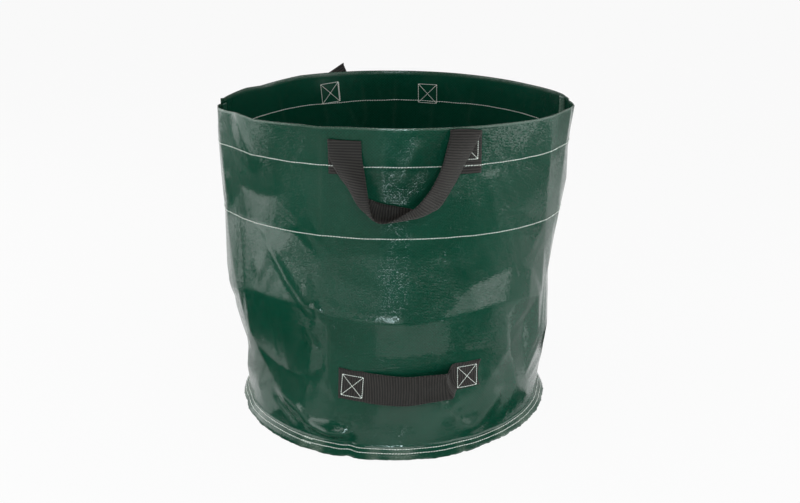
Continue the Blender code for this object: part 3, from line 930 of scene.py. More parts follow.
# %% [markdown]
# The cloth itself is woven from flat plastic tapes a little over two millimetres wide, then coated.
# Each tape is slightly domed and passes over and under its neighbours, so a light breaks into small
# sparks on it. Real relief at that scale would take millions of faces, and an image texture would
# not be cut to the panel, so the weave is a bump worked out from the panel's flat cut: a UV map in
# metres. Creases whiten, the rim is rubbed, and the flange is scuffed and dusty.

# %% The woven sheet's finish
TAPE = 2.35 * MM
TAPE_RELIEF = 0.05 * MM
TAPE_TILT = 4.0
COCKLE_RELIEF = 0.07 * MM
COCKLES, PATCHES, SPECKS = 60.0, 9.0, 420.0  # to the metre
TAPE_EDGE = 4  # a power: the higher, the flatter a tape and the sharper its edges
WARP_TOP, WARP_SIDE = 0.9, 0.6
PINCHED = 0.3  # how far a tape dips where another crosses it
RESHUFFLE = 7.3  # turns one chance number into another
TONE = {"patch": 0.7, "tape": 0.2, "warp": 0.22, "from": 0.2, "to": 0.9}
RUB = {"even": 0.35, "specks": 0.65, "from": 0.42, "to": 0.68}
GLOSS = 0.10  # the roughness of clean sheet; the rest adds to it
DULL = {"patch": 0.04, "warp": 0.05, "scuff_and_painted_light": 0.28}


def woven_sheet(name, deep, fresh, scuff_and_highlight_colour):
    """Tapes that pass over and under each other, deep to fresh green, and mixed to a pale colour by the wear
    attribute: real scuffs on the panels, and a painted highlight on the raw edges.
    """
    finish = Finish(name, {"Specular IOR Level": 0.5, "IOR": 1.5})
    cut = finish.node("ShaderNodeUVMap", {"uv_map": "cloth"})
    across = finish.node("ShaderNodeSeparateXYZ", {}, {0: cut}, "X")
    along = finish.node("ShaderNodeSeparateXYZ", {}, {0: cut}, "Y")
    warp = across / TAPE
    weft = along / TAPE
    off_warp = abs(warp % 1 - 0.5) * 2
    off_weft = abs(weft % 1 - 0.5) * 2
    cell = finish.node("ShaderNodeCombineXYZ", {}, {"X": warp.floor(), "Y": weft.floor()})
    chance = finish.node("ShaderNodeTexWhiteNoise", {"noise_dimensions": "2D"}, {"Vector": cell})
    warp_over = (warp.floor() + weft.floor()) % 2
    side, end = off_warp ** TAPE_EDGE, off_weft ** TAPE_EDGE
    warp_dome = WARP_TOP - WARP_SIDE * side - PINCHED * end
    weft_dome = 1 - end - PINCHED * side
    tilt = (warp % 1 - 0.5) * (chance - 0.5) + (weft % 1 - 0.5) * (chance * RESHUFFLE % 1 - 0.5)
    weave = weft_dome + warp_over * (warp_dome - weft_dome) + tilt * TAPE_TILT
    cockled = finish.relief(finish.noise(cut, COCKLES), COCKLE_RELIEF)
    finish.wire("Normal", finish.relief(weave, TAPE_RELIEF, cockled))

    wear_and_painted_light = finish.node("ShaderNodeAttribute", {"attribute_name": "wear_and_painted_light"}, {}, "Fac")
    patchy = finish.noise(cut, PATCHES)
    speck = finish.noise(cut, SPECKS, 2.0).rise(RUB["from"], RUB["to"])
    # A pale mix by the wear attribute: real scuffs, rubbing and whitened creases on the panels, and a
    # painted highlight on the right seam's raw edges.
    scuff_and_painted_light = wear_and_painted_light * (RUB["even"] + speck * RUB["specks"])
    tone = patchy * TONE["patch"] + chance * TONE["tape"] + warp_over * TONE["warp"]
    green = finish.mix(deep, fresh, tone.rise(TONE["from"], TONE["to"]))
    finish.wire("Base Color", finish.mix(green, scuff_and_highlight_colour, scuff_and_painted_light))
    dull = patchy * DULL["patch"] + warp_over * DULL["warp"] + scuff_and_painted_light * DULL["scuff_and_painted_light"]
    finish.wire("Roughness", GLOSS + dull)
    return finish.material


SHEET = woven_sheet("woven_sheet", deep=(0.0015, 0.040, 0.021, 1), fresh=(0.0032, 0.064, 0.036, 1),
                    scuff_and_highlight_colour=(0.20, 0.25, 0.20, 1))
LINING = woven_sheet("raw_edges", deep=(0.004, 0.060, 0.034, 1), fresh=(0.007, 0.075, 0.045, 1),
                     scuff_and_highlight_colour=(0.40, 0.50, 0.42, 1))
print("Weave repeats every", 2 * TAPE / MM, "mm")


# %% [markdown]
# All cut pieces are made in one way: a block of points in rows and columns becomes a mesh, the flat
# cut becomes its UV map, and a Solidify modifier gives it the thickness of cloth or webbing. Both
# sides could be modelled, but one surface and a thickness can't drift apart.

# %% A grid of cloth from a block of points
def cloth_grid(name, rows, cut, wear_and_painted_light=None):
    """A mesh through a block of points, with its flat cut as a UV map in metres."""
    count, across = rows.shape[:2]
    mesh = bpy.data.meshes.new(name)
    work = bmesh.new()
    bmesh.ops.create_grid(work, x_segments=across - 1, y_segments=count - 1, size=1)
    work.to_mesh(mesh)
    work.free()
    mesh.vertices.foreach_set("co", rows.astype(np.float32).reshape(-1))
    corners = np.empty(len(mesh.loops), np.int32)
    mesh.loops.foreach_get("vertex_index", corners)
    layer = mesh.uv_layers.new(name="cloth")
    layer.data.foreach_set("uv", cut.reshape(-1, 2)[corners].astype(np.float32).reshape(-1))
    if wear_and_painted_light is not None:
        scuff_and_painted_light = mesh.attributes.new("wear_and_painted_light", "FLOAT", "POINT")
        scuff_and_painted_light.data.foreach_set("value", wear_and_painted_light.astype(np.float32).reshape(-1))
    mesh.shade_smooth()
    item = bpy.data.objects.new(name, mesh)
    bpy.context.scene.collection.objects.link(item)
    return item


def thicken(item, thickness):
    solid = item.modifiers.new("thickness", "SOLIDIFY")
    solid.thickness = thickness
    solid.offset = 0.0
    return item


print("A piece of cloth is a grid, a flat cut and a thickness")

# %% [markdown]
# Each wall panel is one length of cloth. Its path starts at the hidden raw edge inside, climbs as
# the cuff, turns over at the rim, comes down outside as the wall, and turns out at the foot into the
# flange. Making it as one strip keeps the rim a real fold and not two edges that happen to meet.

# %% Front and back panels
SHEET_THICK = 0.4 * MM
CUFF_INSET = 1.5 * MM
RIM_FOLD = (CUFF_INSET - SHEET_THICK / 2) / 2
WALL_STEP = 3.4 * MM
INNER_STEP = 6.5 * MM
FLANGE_STEPS = 8
RIM_ROWS = 6
SCUFFS = [(2, 3.5), (43, 2.5), (-33, 2.0)]  # degrees where the flange is rubbed most, and how far
WEAR = {"crease": 0.10, "rim": 0.45, "flange": 0.04, "patch": 0.45, "edge": 0.40}
RIM_WEAR_REACH = 1.6 * MM
SCUFFED_FROM, SCUFFED_TO = 0.05, 0.6


def panel(name, start, end, *nodes):
    """One length of cloth between two seams, from its hidden edge over the rim to the flange."""
    width = math.radians(end - start) * ROUND
    columns = int(round(width / WALL_STEP)) + 1
    angle = np.linspace(start, end, columns)[None, :]
    top = BAG_HEIGHT - RIM_FOLD
    inner = np.linspace(BAG_HEIGHT - CUFF_DEPTH, top, int(CUFF_DEPTH / INNER_STEP))
    outer = np.linspace(top, FOOT_HEIGHT, int((top - FOOT_HEIGHT) / WALL_STEP))
    bend = np.linspace(0, math.pi, RIM_ROWS)[1:-1]
    heights = np.concatenate([inner, top + RIM_FOLD * np.sin(bend), outer])
    middle = -SHEET_THICK / 2 - RIM_FOLD
    lifts = np.concatenate([
        np.full(len(inner), middle - RIM_FOLD),
        middle - RIM_FOLD * np.cos(bend),
        np.full(len(outer), middle + RIM_FOLD),
    ])
    wall_rows = cloth(angle, heights[:, None], lifts[:, None])
    outs = np.linspace(0, 1, FLANGE_STEPS + 1)[1:, None] * flange_width(angle)
    rows = np.concatenate([wall_rows, flange(angle + 0 * outs, outs, -SHEET_THICK / 2)])

    steps = np.linalg.norm(np.diff(rows, axis=0), axis=-1).mean(1)
    travel = np.concatenate([[0], np.cumsum(steps)])
    cut = np.stack(np.broadcast_arrays(np.radians(angle) * ROUND, travel[:, None]), -1)
    wear_and_painted_light = np.zeros(rows.shape[:2])
    to_rim = (heights[:, None] - BAG_HEIGHT) / RIM_WEAR_REACH
    wear_and_painted_light[: len(heights)] = WEAR["crease"] * creases(angle, heights[:, None])[1]
    wear_and_painted_light[: len(heights)] += WEAR["rim"] * np.exp(-(to_rim ** 2))
    edge = np.linspace(0, 1, FLANGE_STEPS)[:, None]
    patches = soft_step(ripple(angle, "scuffs"), SCUFFED_FROM, SCUFFED_TO)
    for place, spread in SCUFFS:
        patches = np.maximum(patches, bell(angle, place, spread))
    wear_and_painted_light[len(heights):] = WEAR["flange"] + patches * (WEAR["patch"] + WEAR["edge"] * edge ** 2)
    item = thicken(cloth_grid(name, rows, cut, wear_and_painted_light), SHEET_THICK)
    item.data.materials.append(SHEET)
    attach(item, "bag")
    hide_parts(*nodes)
    print(f"{name}: cut {1000 * width:.0f} x {1000 * travel[-1]:.0f} mm, {len(rows)} rows x {columns}")


panel("front_wall", LEFT_SEAM, RIGHT_SEAM, "front_panel", "front_cuff")
panel("back_wall", RIGHT_SEAM, LEFT_SEAM + 360, "back_panel", "back_cuff")

# %% [markdown]
# At each side both panels' raw edges are sewn together and lie folded back against the inside. They are two
# narrow strips of cloth, a little paler where the coating is cut, with ends of tape standing out of the
# edge. The right strip is also painted much paler than the left, as a painted highlight, and the left is
# kept dark as painted shade.

# %% Raw edges of the side seams
UPRIGHT = np.array([0, 0, 1.0])
ALLOWANCE = 13 * MM
FOLD_BACK = math.radians(14.0)
EDGE_ROWS = 170
EDGE_POINTS = 7
EDGE_ROOT = 1.1 * MM  # from the inside of the cuff
HALF_GAP = 0.45 * MM  # between the two layers
LOOSE_ENDS = 0.05
FRAY_WAVES = (830, 2190)  # radians to the metre
EDGE_FROM = 2 * MM
EDGE_TO = 0.8 * MM
EDGE_PALE = 0.7


def raw_edges(name, seam, leans, scuff_and_painted_light, node):
    """Both layers of one seam's allowance, as one strip that turns back at the cut edge."""
    heights = np.linspace(FOOT_HEIGHT + EDGE_FROM, BAG_HEIGHT - EDGE_TO, EDGE_ROWS)
    root = cloth(seam, heights, -CUFF_INSET - EDGE_ROOT)
    normal = outward(np.full_like(heights, seam), heights)
    along = unit(np.cross(UPRIGHT, normal)) * leans
    inward = along * math.cos(FOLD_BACK) - normal * math.sin(FOLD_BACK)
    out_and_back = np.linspace(0, 1, EDGE_POINTS)
    shares = np.concatenate([out_and_back, out_and_back[::-1]])
    layer = np.repeat([HALF_GAP, -HALF_GAP], EDGE_POINTS)
    slow, quick = (heights * wave for wave in FRAY_WAVES)
    frayed = 1 + LOOSE_ENDS * np.sin(slow) * np.sin(quick + 1)
    reach = ALLOWANCE * shares[None, :] * frayed[:, None]
    off = unit(np.cross(inward, UPRIGHT))
    rows = root[:, None] + inward[:, None] * reach[..., None] + off[:, None] * layer[None, :, None]
    cut = np.stack(np.broadcast_arrays(reach, heights[:, None]), -1)
    wear_and_painted_light = np.broadcast_to(scuff_and_painted_light * (1 - EDGE_PALE + EDGE_PALE * shares ** 4), rows.shape[:2])
    item = thicken(cloth_grid(name, rows, cut, wear_and_painted_light), SHEET_THICK)
    item.data.materials.append(LINING)
    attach(item, "bag")
    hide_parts(node)


# Both strips are paler towards the cut edge, as cut coating is. Beyond that, the last number paints the
# right strip pale as a highlight and keeps the left dark as painted shade.
raw_edges("left_raw_edges", LEFT_SEAM, -1, 0.1, "left_seam_allowance")
raw_edges("right_raw_edges", RIGHT_SEAM, 1, 1.0, "right_seam_allowance")

# %% [markdown]
# The base is one round of the same cloth. It lies flat on the ground, rises to the seam near its
# edge, and turns out under the wall's foot as the lower layer of the flange. Its surface is a set of
# rings of points round its middle, where they all meet in one, as a disc of cloth has no hole.

# %% The base
BASE_RISE = 0.016
BASE_RISE_END = 0.002
BASE_RINGS = 34
BASE_SPOKES = 300
BASE_LEVEL = 0.9 * MM
BASE_SWELL = 0.9 * MM
SWELL_WAVES = (41, 57)  # radians to the metre
UNDER_SEAM = 1.2 * MM
UNDER_FLANGE = 0.6 * MM
LOWEST = 0.35 * MM
BASE_WORN = 0.06
EDGE_WORN = 0.5


def base():
    angle = np.linspace(0, 360, BASE_SPOKES + 1)[None, :]
    turn = np.radians(angle)
    crest = flange(angle, 0.0, -UNDER_SEAM)
    crest_radius = np.hypot(crest[..., 0], crest[..., 1])
    shares = np.linspace(0, 1, BASE_RINGS)[:, None]
    radius = crest_radius * shares
    climb = soft_step(radius, crest_radius - BASE_RISE, crest_radius + BASE_RISE_END)
    across, deep = SWELL_WAVES
    wander = np.sin(radius * np.sin(turn) * across + 1) * np.sin(radius * np.cos(turn) * deep + 2)
    swell = BASE_SWELL * (1 + wander) * (1 - shares ** 4)
    up = BASE_LEVEL + swell + (crest[..., 2] - BASE_LEVEL) * climb
    disc = np.stack([radius * np.sin(turn), -radius * np.cos(turn), up], -1)
    outs = np.linspace(0, 1, FLANGE_STEPS + 1)[1:, None] * flange_width(angle)
    rim = flange(angle + 0 * outs, outs, -SHEET_THICK - UNDER_FLANGE)
    rim[..., 2] = np.maximum(rim[..., 2], LOWEST)
    rows = np.concatenate([disc, rim])
    wear_and_painted_light = np.full(rows.shape[:2], BASE_WORN)
    wear_and_painted_light[BASE_RINGS:] = EDGE_WORN
    item = cloth_grid("base_round", rows, rows[..., :2].copy(), wear_and_painted_light)
    work = bmesh.new()
    work.from_mesh(item.data)
    bmesh.ops.remove_doubles(work, verts=work.verts, dist=PROBE)
    work.to_mesh(item.data)
    work.free()
    thicken(item, SHEET_THICK)
    item.data.materials.append(SHEET)
    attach(item, "bag")
    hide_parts("base_panel")
    across = 2 * (SEAM_RADIUS + flange_width(seam_turns).mean())
    print(f"Base: {1000 * across:.0f} mm across before sewing")


base()

# %% [markdown]
# Stitches decide whether a bag looks sewn. A row drawn as one tube reads as piping, and a bump can't
# catch light as thread does, so every stitch is its own small grain: plump in the middle, pulled
# into the cloth at both ends, and turned a little across the row as a lockstitch is. One grain is
# made once and copied along a path at an even pitch.

# %% The thread's finish
THREAD_RELIEF = 0.12 * MM
THREAD_DARK = (0.66, 0.74, 0.66, 1)
THREAD_PALE = (0.93, 0.96, 0.90, 1)
THREAD_ROUGH = 0.55
THREAD_FUZZ = 0.25
PLY_FROM, PLY_TO = 0.3, 0.7
PLIES = 1900.0  # to the metre


def thread_finish():
    finish = Finish("sewing_thread", {"Specular IOR Level": 0.4, "Sheen Weight": 0.5})
    place = finish.node("ShaderNodeTexCoord", {}, {}, "Object")
    ply = finish.noise(place, PLIES, 1.0)
    finish.wire("Base Color", finish.mix(THREAD_DARK, THREAD_PALE, ply.rise(PLY_FROM, PLY_TO)))
    finish.wire("Roughness", THREAD_ROUGH + ply * THREAD_FUZZ)
    finish.wire("Normal", finish.relief(ply, THREAD_RELIEF))
    return finish.material


THREAD_WHITE = thread_finish()
print("Plies of about", round(1000 / PLIES, 2), "mm show in the thread")

# %% One grain of thread
GRAIN_SIDES = 7
GRAIN_RINGS = 6
GRAIN_BELLY = 0.25


def from_lowest(face):
    """A face's points, from the lowest number on and still in the same sense."""
    first = face.index(min(face))
    return face[first:] + face[:first]


def grain():
    """The points and faces of one stitch, a unit long on X and a unit thick.

    Blender lists the faces of a new sphere in another order each time, so they are put in order.
    """
    work = bmesh.new()
    bmesh.ops.create_uvsphere(work, u_segments=GRAIN_SIDES, v_segments=GRAIN_RINGS, radius=0.5)
    points = np.array([(v.co.z, v.co.x, v.co.y) for v in work.verts])
    faces = sorted(from_lowest([v.index for v in f.verts]) for f in work.faces)
    work.free()
    points[:, 1:] *= 1 + GRAIN_BELLY * (1 - (2 * points[:, :1]) ** 4)
    return points, faces


GRAIN_POINTS, GRAIN_FACES = grain()
print("One grain has", len(GRAIN_FACES), "faces")

# %% Stitches along a path
PITCH = 4.4 * MM
THREAD = 1.2 * MM
STITCH_SLANT = math.radians(7)
STITCH_SHOWS = 0.93  # of its pitch
STITCH_FLAT = 0.8


def stitches(path, normals, pitch=PITCH, thick=THREAD):
    """Points of the grains along a path, one block for each stitch."""
    travel = along_path(path)
    count = max(2, int(round(travel[-1] / pitch)))
    ends = np.linspace(0, travel[-1], count + 1)
    knots = read_path(ends, travel, path)
    up = unit(read_path((ends[1:] + ends[:-1]) / 2, travel, normals))
    middle = (knots[1:] + knots[:-1]) / 2
    run = unit(knots[1:] - knots[:-1])
    side = unit(np.cross(up, run))
    slanted = run * math.cos(STITCH_SLANT) + side * math.sin(STITCH_SLANT)
    across = unit(np.cross(up, slanted))
    length = travel[-1] / count * STITCH_SHOWS
    blocks = middle[:, None] + slanted[:, None] * GRAIN_POINTS[None, :, :1] * length
    blocks = blocks + across[:, None] * GRAIN_POINTS[None, :, 1:2] * thick
    return blocks + up[:, None] * GRAIN_POINTS[None, :, 2:] * thick * STITCH_FLAT


def sew(name, blocks, node):
    """One object from many stitches, which stands for a node of the construction model."""
    blocks = np.concatenate(blocks)
    size = len(GRAIN_POINTS)
    faces = [[i + k * size for i in face] for k in range(len(blocks)) for face in GRAIN_FACES]
    mesh = bpy.data.meshes.new(name)
    mesh.from_pydata(blocks.reshape(-1, 3).tolist(), [], faces)
    mesh.shade_smooth()
    mesh.materials.append(THREAD_WHITE)
    item = bpy.data.objects.new(name, mesh)
    bpy.context.scene.collection.objects.link(item)
    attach(item, "bag")
    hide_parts(node)
    print(f"{name}: {len(blocks)} stitches")


print(f"{1 / PITCH:.0f} stitches to the metre")

# %% [markdown]
# Two rows hold the cuff: the upper one also catches the ends of the top handles, and the lower one
# runs along the cuff's raw edge. Both show outside and inside. Two more rows close the flange, with
# a small jog where the machine began and ended. The upper row climbs over the webbing it crosses,
# so the webbing's places come first.

# %% Where the webbing is sewn on
WEBBING = 0.050
WEBBING_THICK = 1.5 * MM
UPPER_ROW, LOWER_ROW = STITCHED_HEIGHTS
SEWN_ENDS = {
    # the X at which the row crosses it, and its box stitch: X, height and slant in degrees
    "front_left": {"face": "front", "across": -0.069, "box": (-0.069, 0.4790, 0.0)},
    "front_right": {"face": "front", "across": 0.110, "box": (0.1115, 0.4880, 0.0)},
    "back_left": {"face": "back", "across": -0.1135, "box": (-0.1140, 0.4855, 4.0)},
    "back_right": {"face": "back", "across": 0.0625, "box": (0.0622, 0.4805, 0.0)},
}


def angle_of(across, height, face):
    """The wall angle, in degrees, at which a face of the bag has this X."""
    opened = openness(height)
    half_width = SEAM_RADIUS + (RIM_HALF_WIDTH - SEAM_RADIUS) * opened
    turn = np.degrees(np.arcsin(np.clip((across - RIM_RIGHT * opened) / half_width, -1, 1)))
    return turn if face == "front" else 180 - turn


for name, facts in SEWN_ENDS.items():
    facts["angle"] = float(angle_of(facts["across"], UPPER_ROW, facts["face"]))
    print(f"{name} webbing crosses the row at {facts['angle']:.1f} degrees")

# %% Rows of stitching
ROW_POINTS = 1400
INNER_ROW_OUT = 4.2 * MM
OUTER_ROW_OUT = 11.2 * MM
JOG_ANGLE = -34.0
JOG_TURN = 4.0  # degrees before and after a full turn over which the row laps itself
JOG_OUT = 1.7 * MM
BACK_CLIMB = 5.5 * MM
SIDE_CLIMB = 2.8 * MM
SIDE_AT, SIDE_SPREAD = 68, 15
BACK_FROM, BACK_TO = 0.1, 0.8  # as the cosine of the angle from the middle of the back
ROW_LIFT = 0.30 * MM
INSIDE_LIFT = 0.55 * MM
ROW_WANDER = 0.5 * MM
OVER_WEBBING = WEBBING_THICK + 0.5 * MM
CLIMB_FROM = WEBBING / 2 - 1 * MM
CLIMB_TO = WEBBING / 2 + 3 * MM
TINY = 1e-9


def cuff_row(height, outside, crossed=()):
    angle = np.linspace(LEFT_SEAM, LEFT_SEAM + 360, ROW_POINTS)
    lift = np.full_like(angle, ROW_LIFT)
    for middle in crossed:
        near = np.abs(np.radians(around(angle, middle))) * ROUND
        lift += OVER_WEBBING * (1 - soft_step(near, CLIMB_FROM, CLIMB_TO))
    if not outside:
        lift = np.full_like(angle, -CUFF_INSET - INSIDE_LIFT)
    normals = outward(angle, np.full_like(angle, height)) * (1 if outside else -1)
    climb = BACK_CLIMB * soft_step(-np.cos(np.radians(angle)), BACK_FROM, BACK_TO)
    climb += SIDE_CLIMB * bell(np.abs(around(angle, 0)), SIDE_AT, SIDE_SPREAD)
    climb *= height == UPPER_ROW
    wander = height + climb + ROW_WANDER * ripple(angle, "cuff row")
    return stitches(cloth(angle, wander, lift), normals)


def flange_row(out):
    lap_from, lap_to = JOG_ANGLE + 360 - JOG_TURN, JOG_ANGLE + 360 + JOG_TURN
    angle = np.linspace(JOG_ANGLE, lap_to, ROW_POINTS)
    lapped = soft_step(angle, lap_from, lap_to)
    drift = out + ROW_WANDER * ripple(angle, "flange row") + JOG_OUT * lapped
    far = flange(angle, drift, ROW_LIFT + PROBE)
    near = flange(angle, drift, ROW_LIFT - PROBE)
    facing = unit(far - near + TINY * UPRIGHT)
    return stitches(flange(angle, drift, ROW_LIFT), facing)


crossed = [facts["angle"] for facts in SEWN_ENDS.values()]
sew("upper_row", [cuff_row(UPPER_ROW, True, crossed), cuff_row(UPPER_ROW, False)],
    "upper_cuff_stitching")
sew("lower_row", [cuff_row(LOWER_ROW, True), cuff_row(LOWER_ROW, False)], "lower_cuff_stitching")
sew("inner_flange_row", [flange_row(INNER_ROW_OUT)], "inner_base_stitching")
sew("outer_flange_row", [flange_row(OUTER_ROW_OUT)], "outer_base_stitching")

# %% [markdown]
# Webbing is woven as a ribbed band: thick cross threads, packed close, stand up as ribs. It bends
# along its length and twists, but it can't bend across its width, so each station of a handle is a
# straight line from edge to edge, and the handle is a ribbon through those lines. The ribs are real
# relief here, because they show along the handle's outline.

# %% The webbing's finish
RIB = 4.2 * MM
RIB_RELIEF = 0.42 * MM
YARN = 1.25 * MM
YARN_RELIEF = 0.22 * MM
FIBRES, FADED = 2600.0, 22.0  # to the metre
FIBRE_RELIEF = 0.35
WEBBING_DEEP = (0.0025, 0.0023, 0.0022, 1)
WEBBING_PALE = (0.068, 0.060, 0.053, 1)
PALE_FROM, PALE_BY = 0.30, 0.6
WEBBING_ROUGH = 0.62
WEBBING_FUZZ = 0.2


def webbing_finish():
    finish = Finish("black_webbing", {"Specular IOR Level": 0.35, "Sheen Weight": 0.15,
                                      "Sheen Roughness": 0.45, "Sheen Tint": (0.75, 0.70, 0.66, 1)})
    cut = finish.node("ShaderNodeUVMap", {"uv_map": "cloth"})
    across = finish.node("ShaderNodeSeparateXYZ", {}, {0: cut}, "X")
    along = finish.node("ShaderNodeSeparateXYZ", {}, {0: cut}, "Y")
    rib = along / RIB
    yarn = across / YARN + rib.floor() % 2 * 0.5
    off_rib = abs(rib % 1 - 0.5) * 2
    off_yarn = abs(yarn % 1 - 0.5) * 2
    fibres = finish.noise(cut, FIBRES)
    weave = (1 - off_yarn ** 2) * (1 - off_rib ** 2) + fibres * FIBRE_RELIEF
    finish.wire("Normal", finish.relief(weave, YARN_RELIEF))
    # Yarn tops are painted paler and the gaps between ribs darker, as painted highlight and shade of the
    # relief; the slow noise adds real fading.
    painted_rib_light_and_fading = weave * weave * (PALE_FROM + finish.noise(cut, FADED) * PALE_BY)
    finish.wire("Base Color", finish.mix(WEBBING_DEEP, WEBBING_PALE, painted_rib_light_and_fading))
    finish.wire("Roughness", WEBBING_ROUGH + fibres * WEBBING_FUZZ)
    return finish.material


WEBBING_BLACK = webbing_finish()
print("Ribs stand every", RIB / MM, "mm")


# %% A ribbon of webbing through straight stations
ACROSS = 15
CURVE_STEPS = 40
RIB_CREST = 0.8
EDGE_FLAT = 0.7  # how much flatter a rib is at the webbing's edge
EDGE_NARROW = 10  # a power: the higher, the nearer to the edge it flattens


def smooth_line(points, step):
    """A smooth curve through points with two edges each, read at even steps of its middle."""
    points = np.asarray(points, float)
    padded = np.concatenate([[2 * points[0] - points[1]], points, [2 * points[-1] - points[-2]]])
    fine = []
    for k in range(len(points) - 1):
        a, b, c, d = padded[k: k + 4]
        t = np.linspace(0, 1, CURVE_STEPS, endpoint=False)[:, None]
        bend = (2 * a - 5 * b + 4 * c - d) * t ** 2 + (3 * b - a - 3 * c + d) * t ** 3
        fine.append(0.5 * (2 * b + (c - a) * t + bend))
    fine = np.concatenate([*fine, points[-1:]])
    travel = along_path((fine[:, :3] + fine[:, 3:]) / 2)
    return read_path(np.linspace(0, travel[-1], int(travel[-1] / step) + 1), travel, fine)


def ribbon(name, rows, flip=False):
    """Webbing through rows of points: ribs as relief, and a thickness."""
    run = np.gradient(rows, axis=0)
    side = np.gradient(rows, axis=1)
    facing = unit(np.cross(run, side))
    travel = along_path(rows[:, ACROSS // 2])
    share = np.linspace(-1, 1, ACROSS)
    rib = np.abs(np.sin(np.pi * travel / RIB)) ** RIB_CREST
    relief = RIB_RELIEF * (rib[:, None] - 0.5) * (1 - EDGE_FLAT * np.abs(share[None, :]) ** EDGE_NARROW)
    rows = rows + facing * relief[..., None] * (-1 if flip else 1)
    cut = np.stack(np.broadcast_arrays(share[None, :] * WEBBING / 2, travel[:, None]), -1)
    item = thicken(cloth_grid(name, rows, cut), WEBBING_THICK - RIB_RELIEF / 2)
    item.data.materials.append(WEBBING_BLACK)
    print(f"{name}: {1000 * travel[-1]:.0f} mm of webbing")
    return item


def resample(rows, step):
    """Rows at even steps along their middle."""
    travel = along_path(rows[:, ACROSS // 2])
    places = np.linspace(0, travel[-1], int(travel[-1] / step) + 1)
    return read_path(places, travel, rows.reshape(len(rows), -1)).reshape(-1, *rows.shape[1:])


def halves(rows):
    """The left and the right half of a band, each from its sewn end to the row they share."""
    middle = len(rows) // 2
    return {"left": rows[: middle + 1], "right": rows[middle:][::-1]}


# %% [markdown]
# The front handle hangs in a U. Its left leg lies flat against the bag, then the webbing turns
# quickly onto its edge, runs along the bottom like a shelf that shows its inner face, and turns back
# slowly as it climbs the right leg. The stations give both edges of the webbing in millimetres, from
# the left fold to the right one; outer is the edge away from the middle of the U.

# %% Stations of the front handle
FRONT_STATIONS = [
    # outer edge, then inner edge
    ((-95, -203, 499), (-45, -208, 500)),
    ((-93, -204, 478), (-44, -210, 477)),
    ((-84, -206, 458), (-40, -223, 456)),
    ((-70, -210, 438), (-36, -241, 436)),
    ((-50, -214, 421), (-33, -252, 416)),
    ((-33, -216, 415), (-30, -256, 404)),
    ((-22, -217, 411), (-24, -257, 394)),
    ((-12, -217, 408), (-15, -257, 391)),
    ((2, -217, 405.5), (-3, -257, 393)),
    ((14, -217, 403), (8, -256, 398)),
    ((28, -216, 400), (18, -255, 404)),
    ((44, -215, 396), (28, -253, 409)),
    ((59, -214, 395), (37, -251, 415)),
    ((72, -212, 402), (48, -248, 427)),
    ((84, -208, 420), (57, -245, 439)),
    ((96, -205, 441), (66, -241, 455)),
    ((107, -201, 463), (74, -235, 473)),
    ((120, -197, 486), (80, -223, 493)),
    ((133, -194, 511), (86, -209, 514)),
]
STRAP_CLEAR = 1.3 * MM
STATION_STEP = RIB / 5
CUP = 3 / 8  # of a shallow arc: (length / chord - 1) is 8/3 of (depth / chord) squared


def ruled(stations):
    """Rows of points across the webbing, from edge to edge.

    Webbing keeps its width, so where its edges lie closer together than that it is cupped, with its
    belly on the outer side of the U.
    """
    points = [[c * MM for c in (*outer, *inner)] for outer, inner in stations]
    edges = smooth_line(points, STATION_STEP)
    first, second = edges[:, :3], edges[:, 3:]
    middle = (first + second) / 2
    chord = np.linalg.norm(second - first, axis=1)[:, None]
    run = unit(np.gradient(middle, axis=0))
    belly = unit(np.cross(run, second - first))
    half = (second - first) / chord * np.minimum(chord, WEBBING) / 2
    depth = chord * np.sqrt(CUP * np.maximum(WEBBING / chord - 1, 0))
    share = np.linspace(-1, 1, ACROSS)[None, :, None]
    flat = middle[:, None] + half[:, None] * share
    return flat + (belly * depth)[:, None] * (1 - share ** 2)


def off_the_wall(rows, face, clear):
    """Moves points that would touch the wall out to a clear distance from it."""
    angle = angle_of(rows[..., 0], rows[..., 2], face)
    limit = cloth(angle, np.minimum(rows[..., 2], BAG_HEIGHT), clear)[..., 1]
    rows = rows.copy()
    if face == "front":
        rows[..., 1] = np.minimum(rows[..., 1], limit)
    else:
        rows[..., 1] = np.maximum(rows[..., 1], limit)
    return rows


front_rows = off_the_wall(ruled(FRONT_STATIONS), "front", WEBBING_THICK + STRAP_CLEAR)
lengths = [round(1000 * along_path(front_rows[:, k])[-1]) for k in (0, ACROSS // 2, -1)]
print("Front handle, outer edge, middle and inner edge:", lengths, "mm")

# %% [markdown]
# Each end of a handle goes up the outside of the cuff, where it is sewn flat, turns over at the top and
# hangs down again as the strap. The webbing is one length, so a strap may not part from its end when the
# handle is lifted: it would bend over a few millimetres just below the fold. Bones could bend it too; here
# only the start and end of that bend are worked out, and the strap is not bent.

# %% Sewn ends and free straps of the front handle
TAB_FOOT = 0.449
TAB_LIFT = 0.9 * MM
ARCH_ROWS = 9  # from the wall to the top of the fold
BEND_ROW = 20
BEND_FROM = 0.5 * MM
BEND_TO = 9.0 * MM


def sewn_end(fold_row, face, free):
    """Rows of a sewn end: up the wall from its cut end to the fold, then half round the bend."""
    share = np.linspace(0, 1, int((BAG_HEIGHT - TAB_FOOT) / STATION_STEP) + 1)[:, None]
    across = np.broadcast_to(fold_row[:, 0], (len(share), len(fold_row)))
    height = TAB_FOOT + (fold_row[None, :, 2] - TAB_FOOT) * share
    tab = cloth(angle_of(across, height, face), height, TAB_LIFT)
    centre, spoke = (tab[-1] + fold_row) / 2, (tab[-1] - fold_row) / 2
    top = np.linalg.norm(spoke, axis=1, keepdims=True) * UPRIGHT
    turns = np.linspace(0, math.pi, 2 * ARCH_ROWS - 1)
    arch = np.array([centre + spoke * math.cos(turn) + top * math.sin(turn) for turn in turns])
    tab = np.concatenate([tab, arch[1:ARCH_ROWS]])
    return tab, np.concatenate([arch[ARCH_ROWS - 1: -1], free])


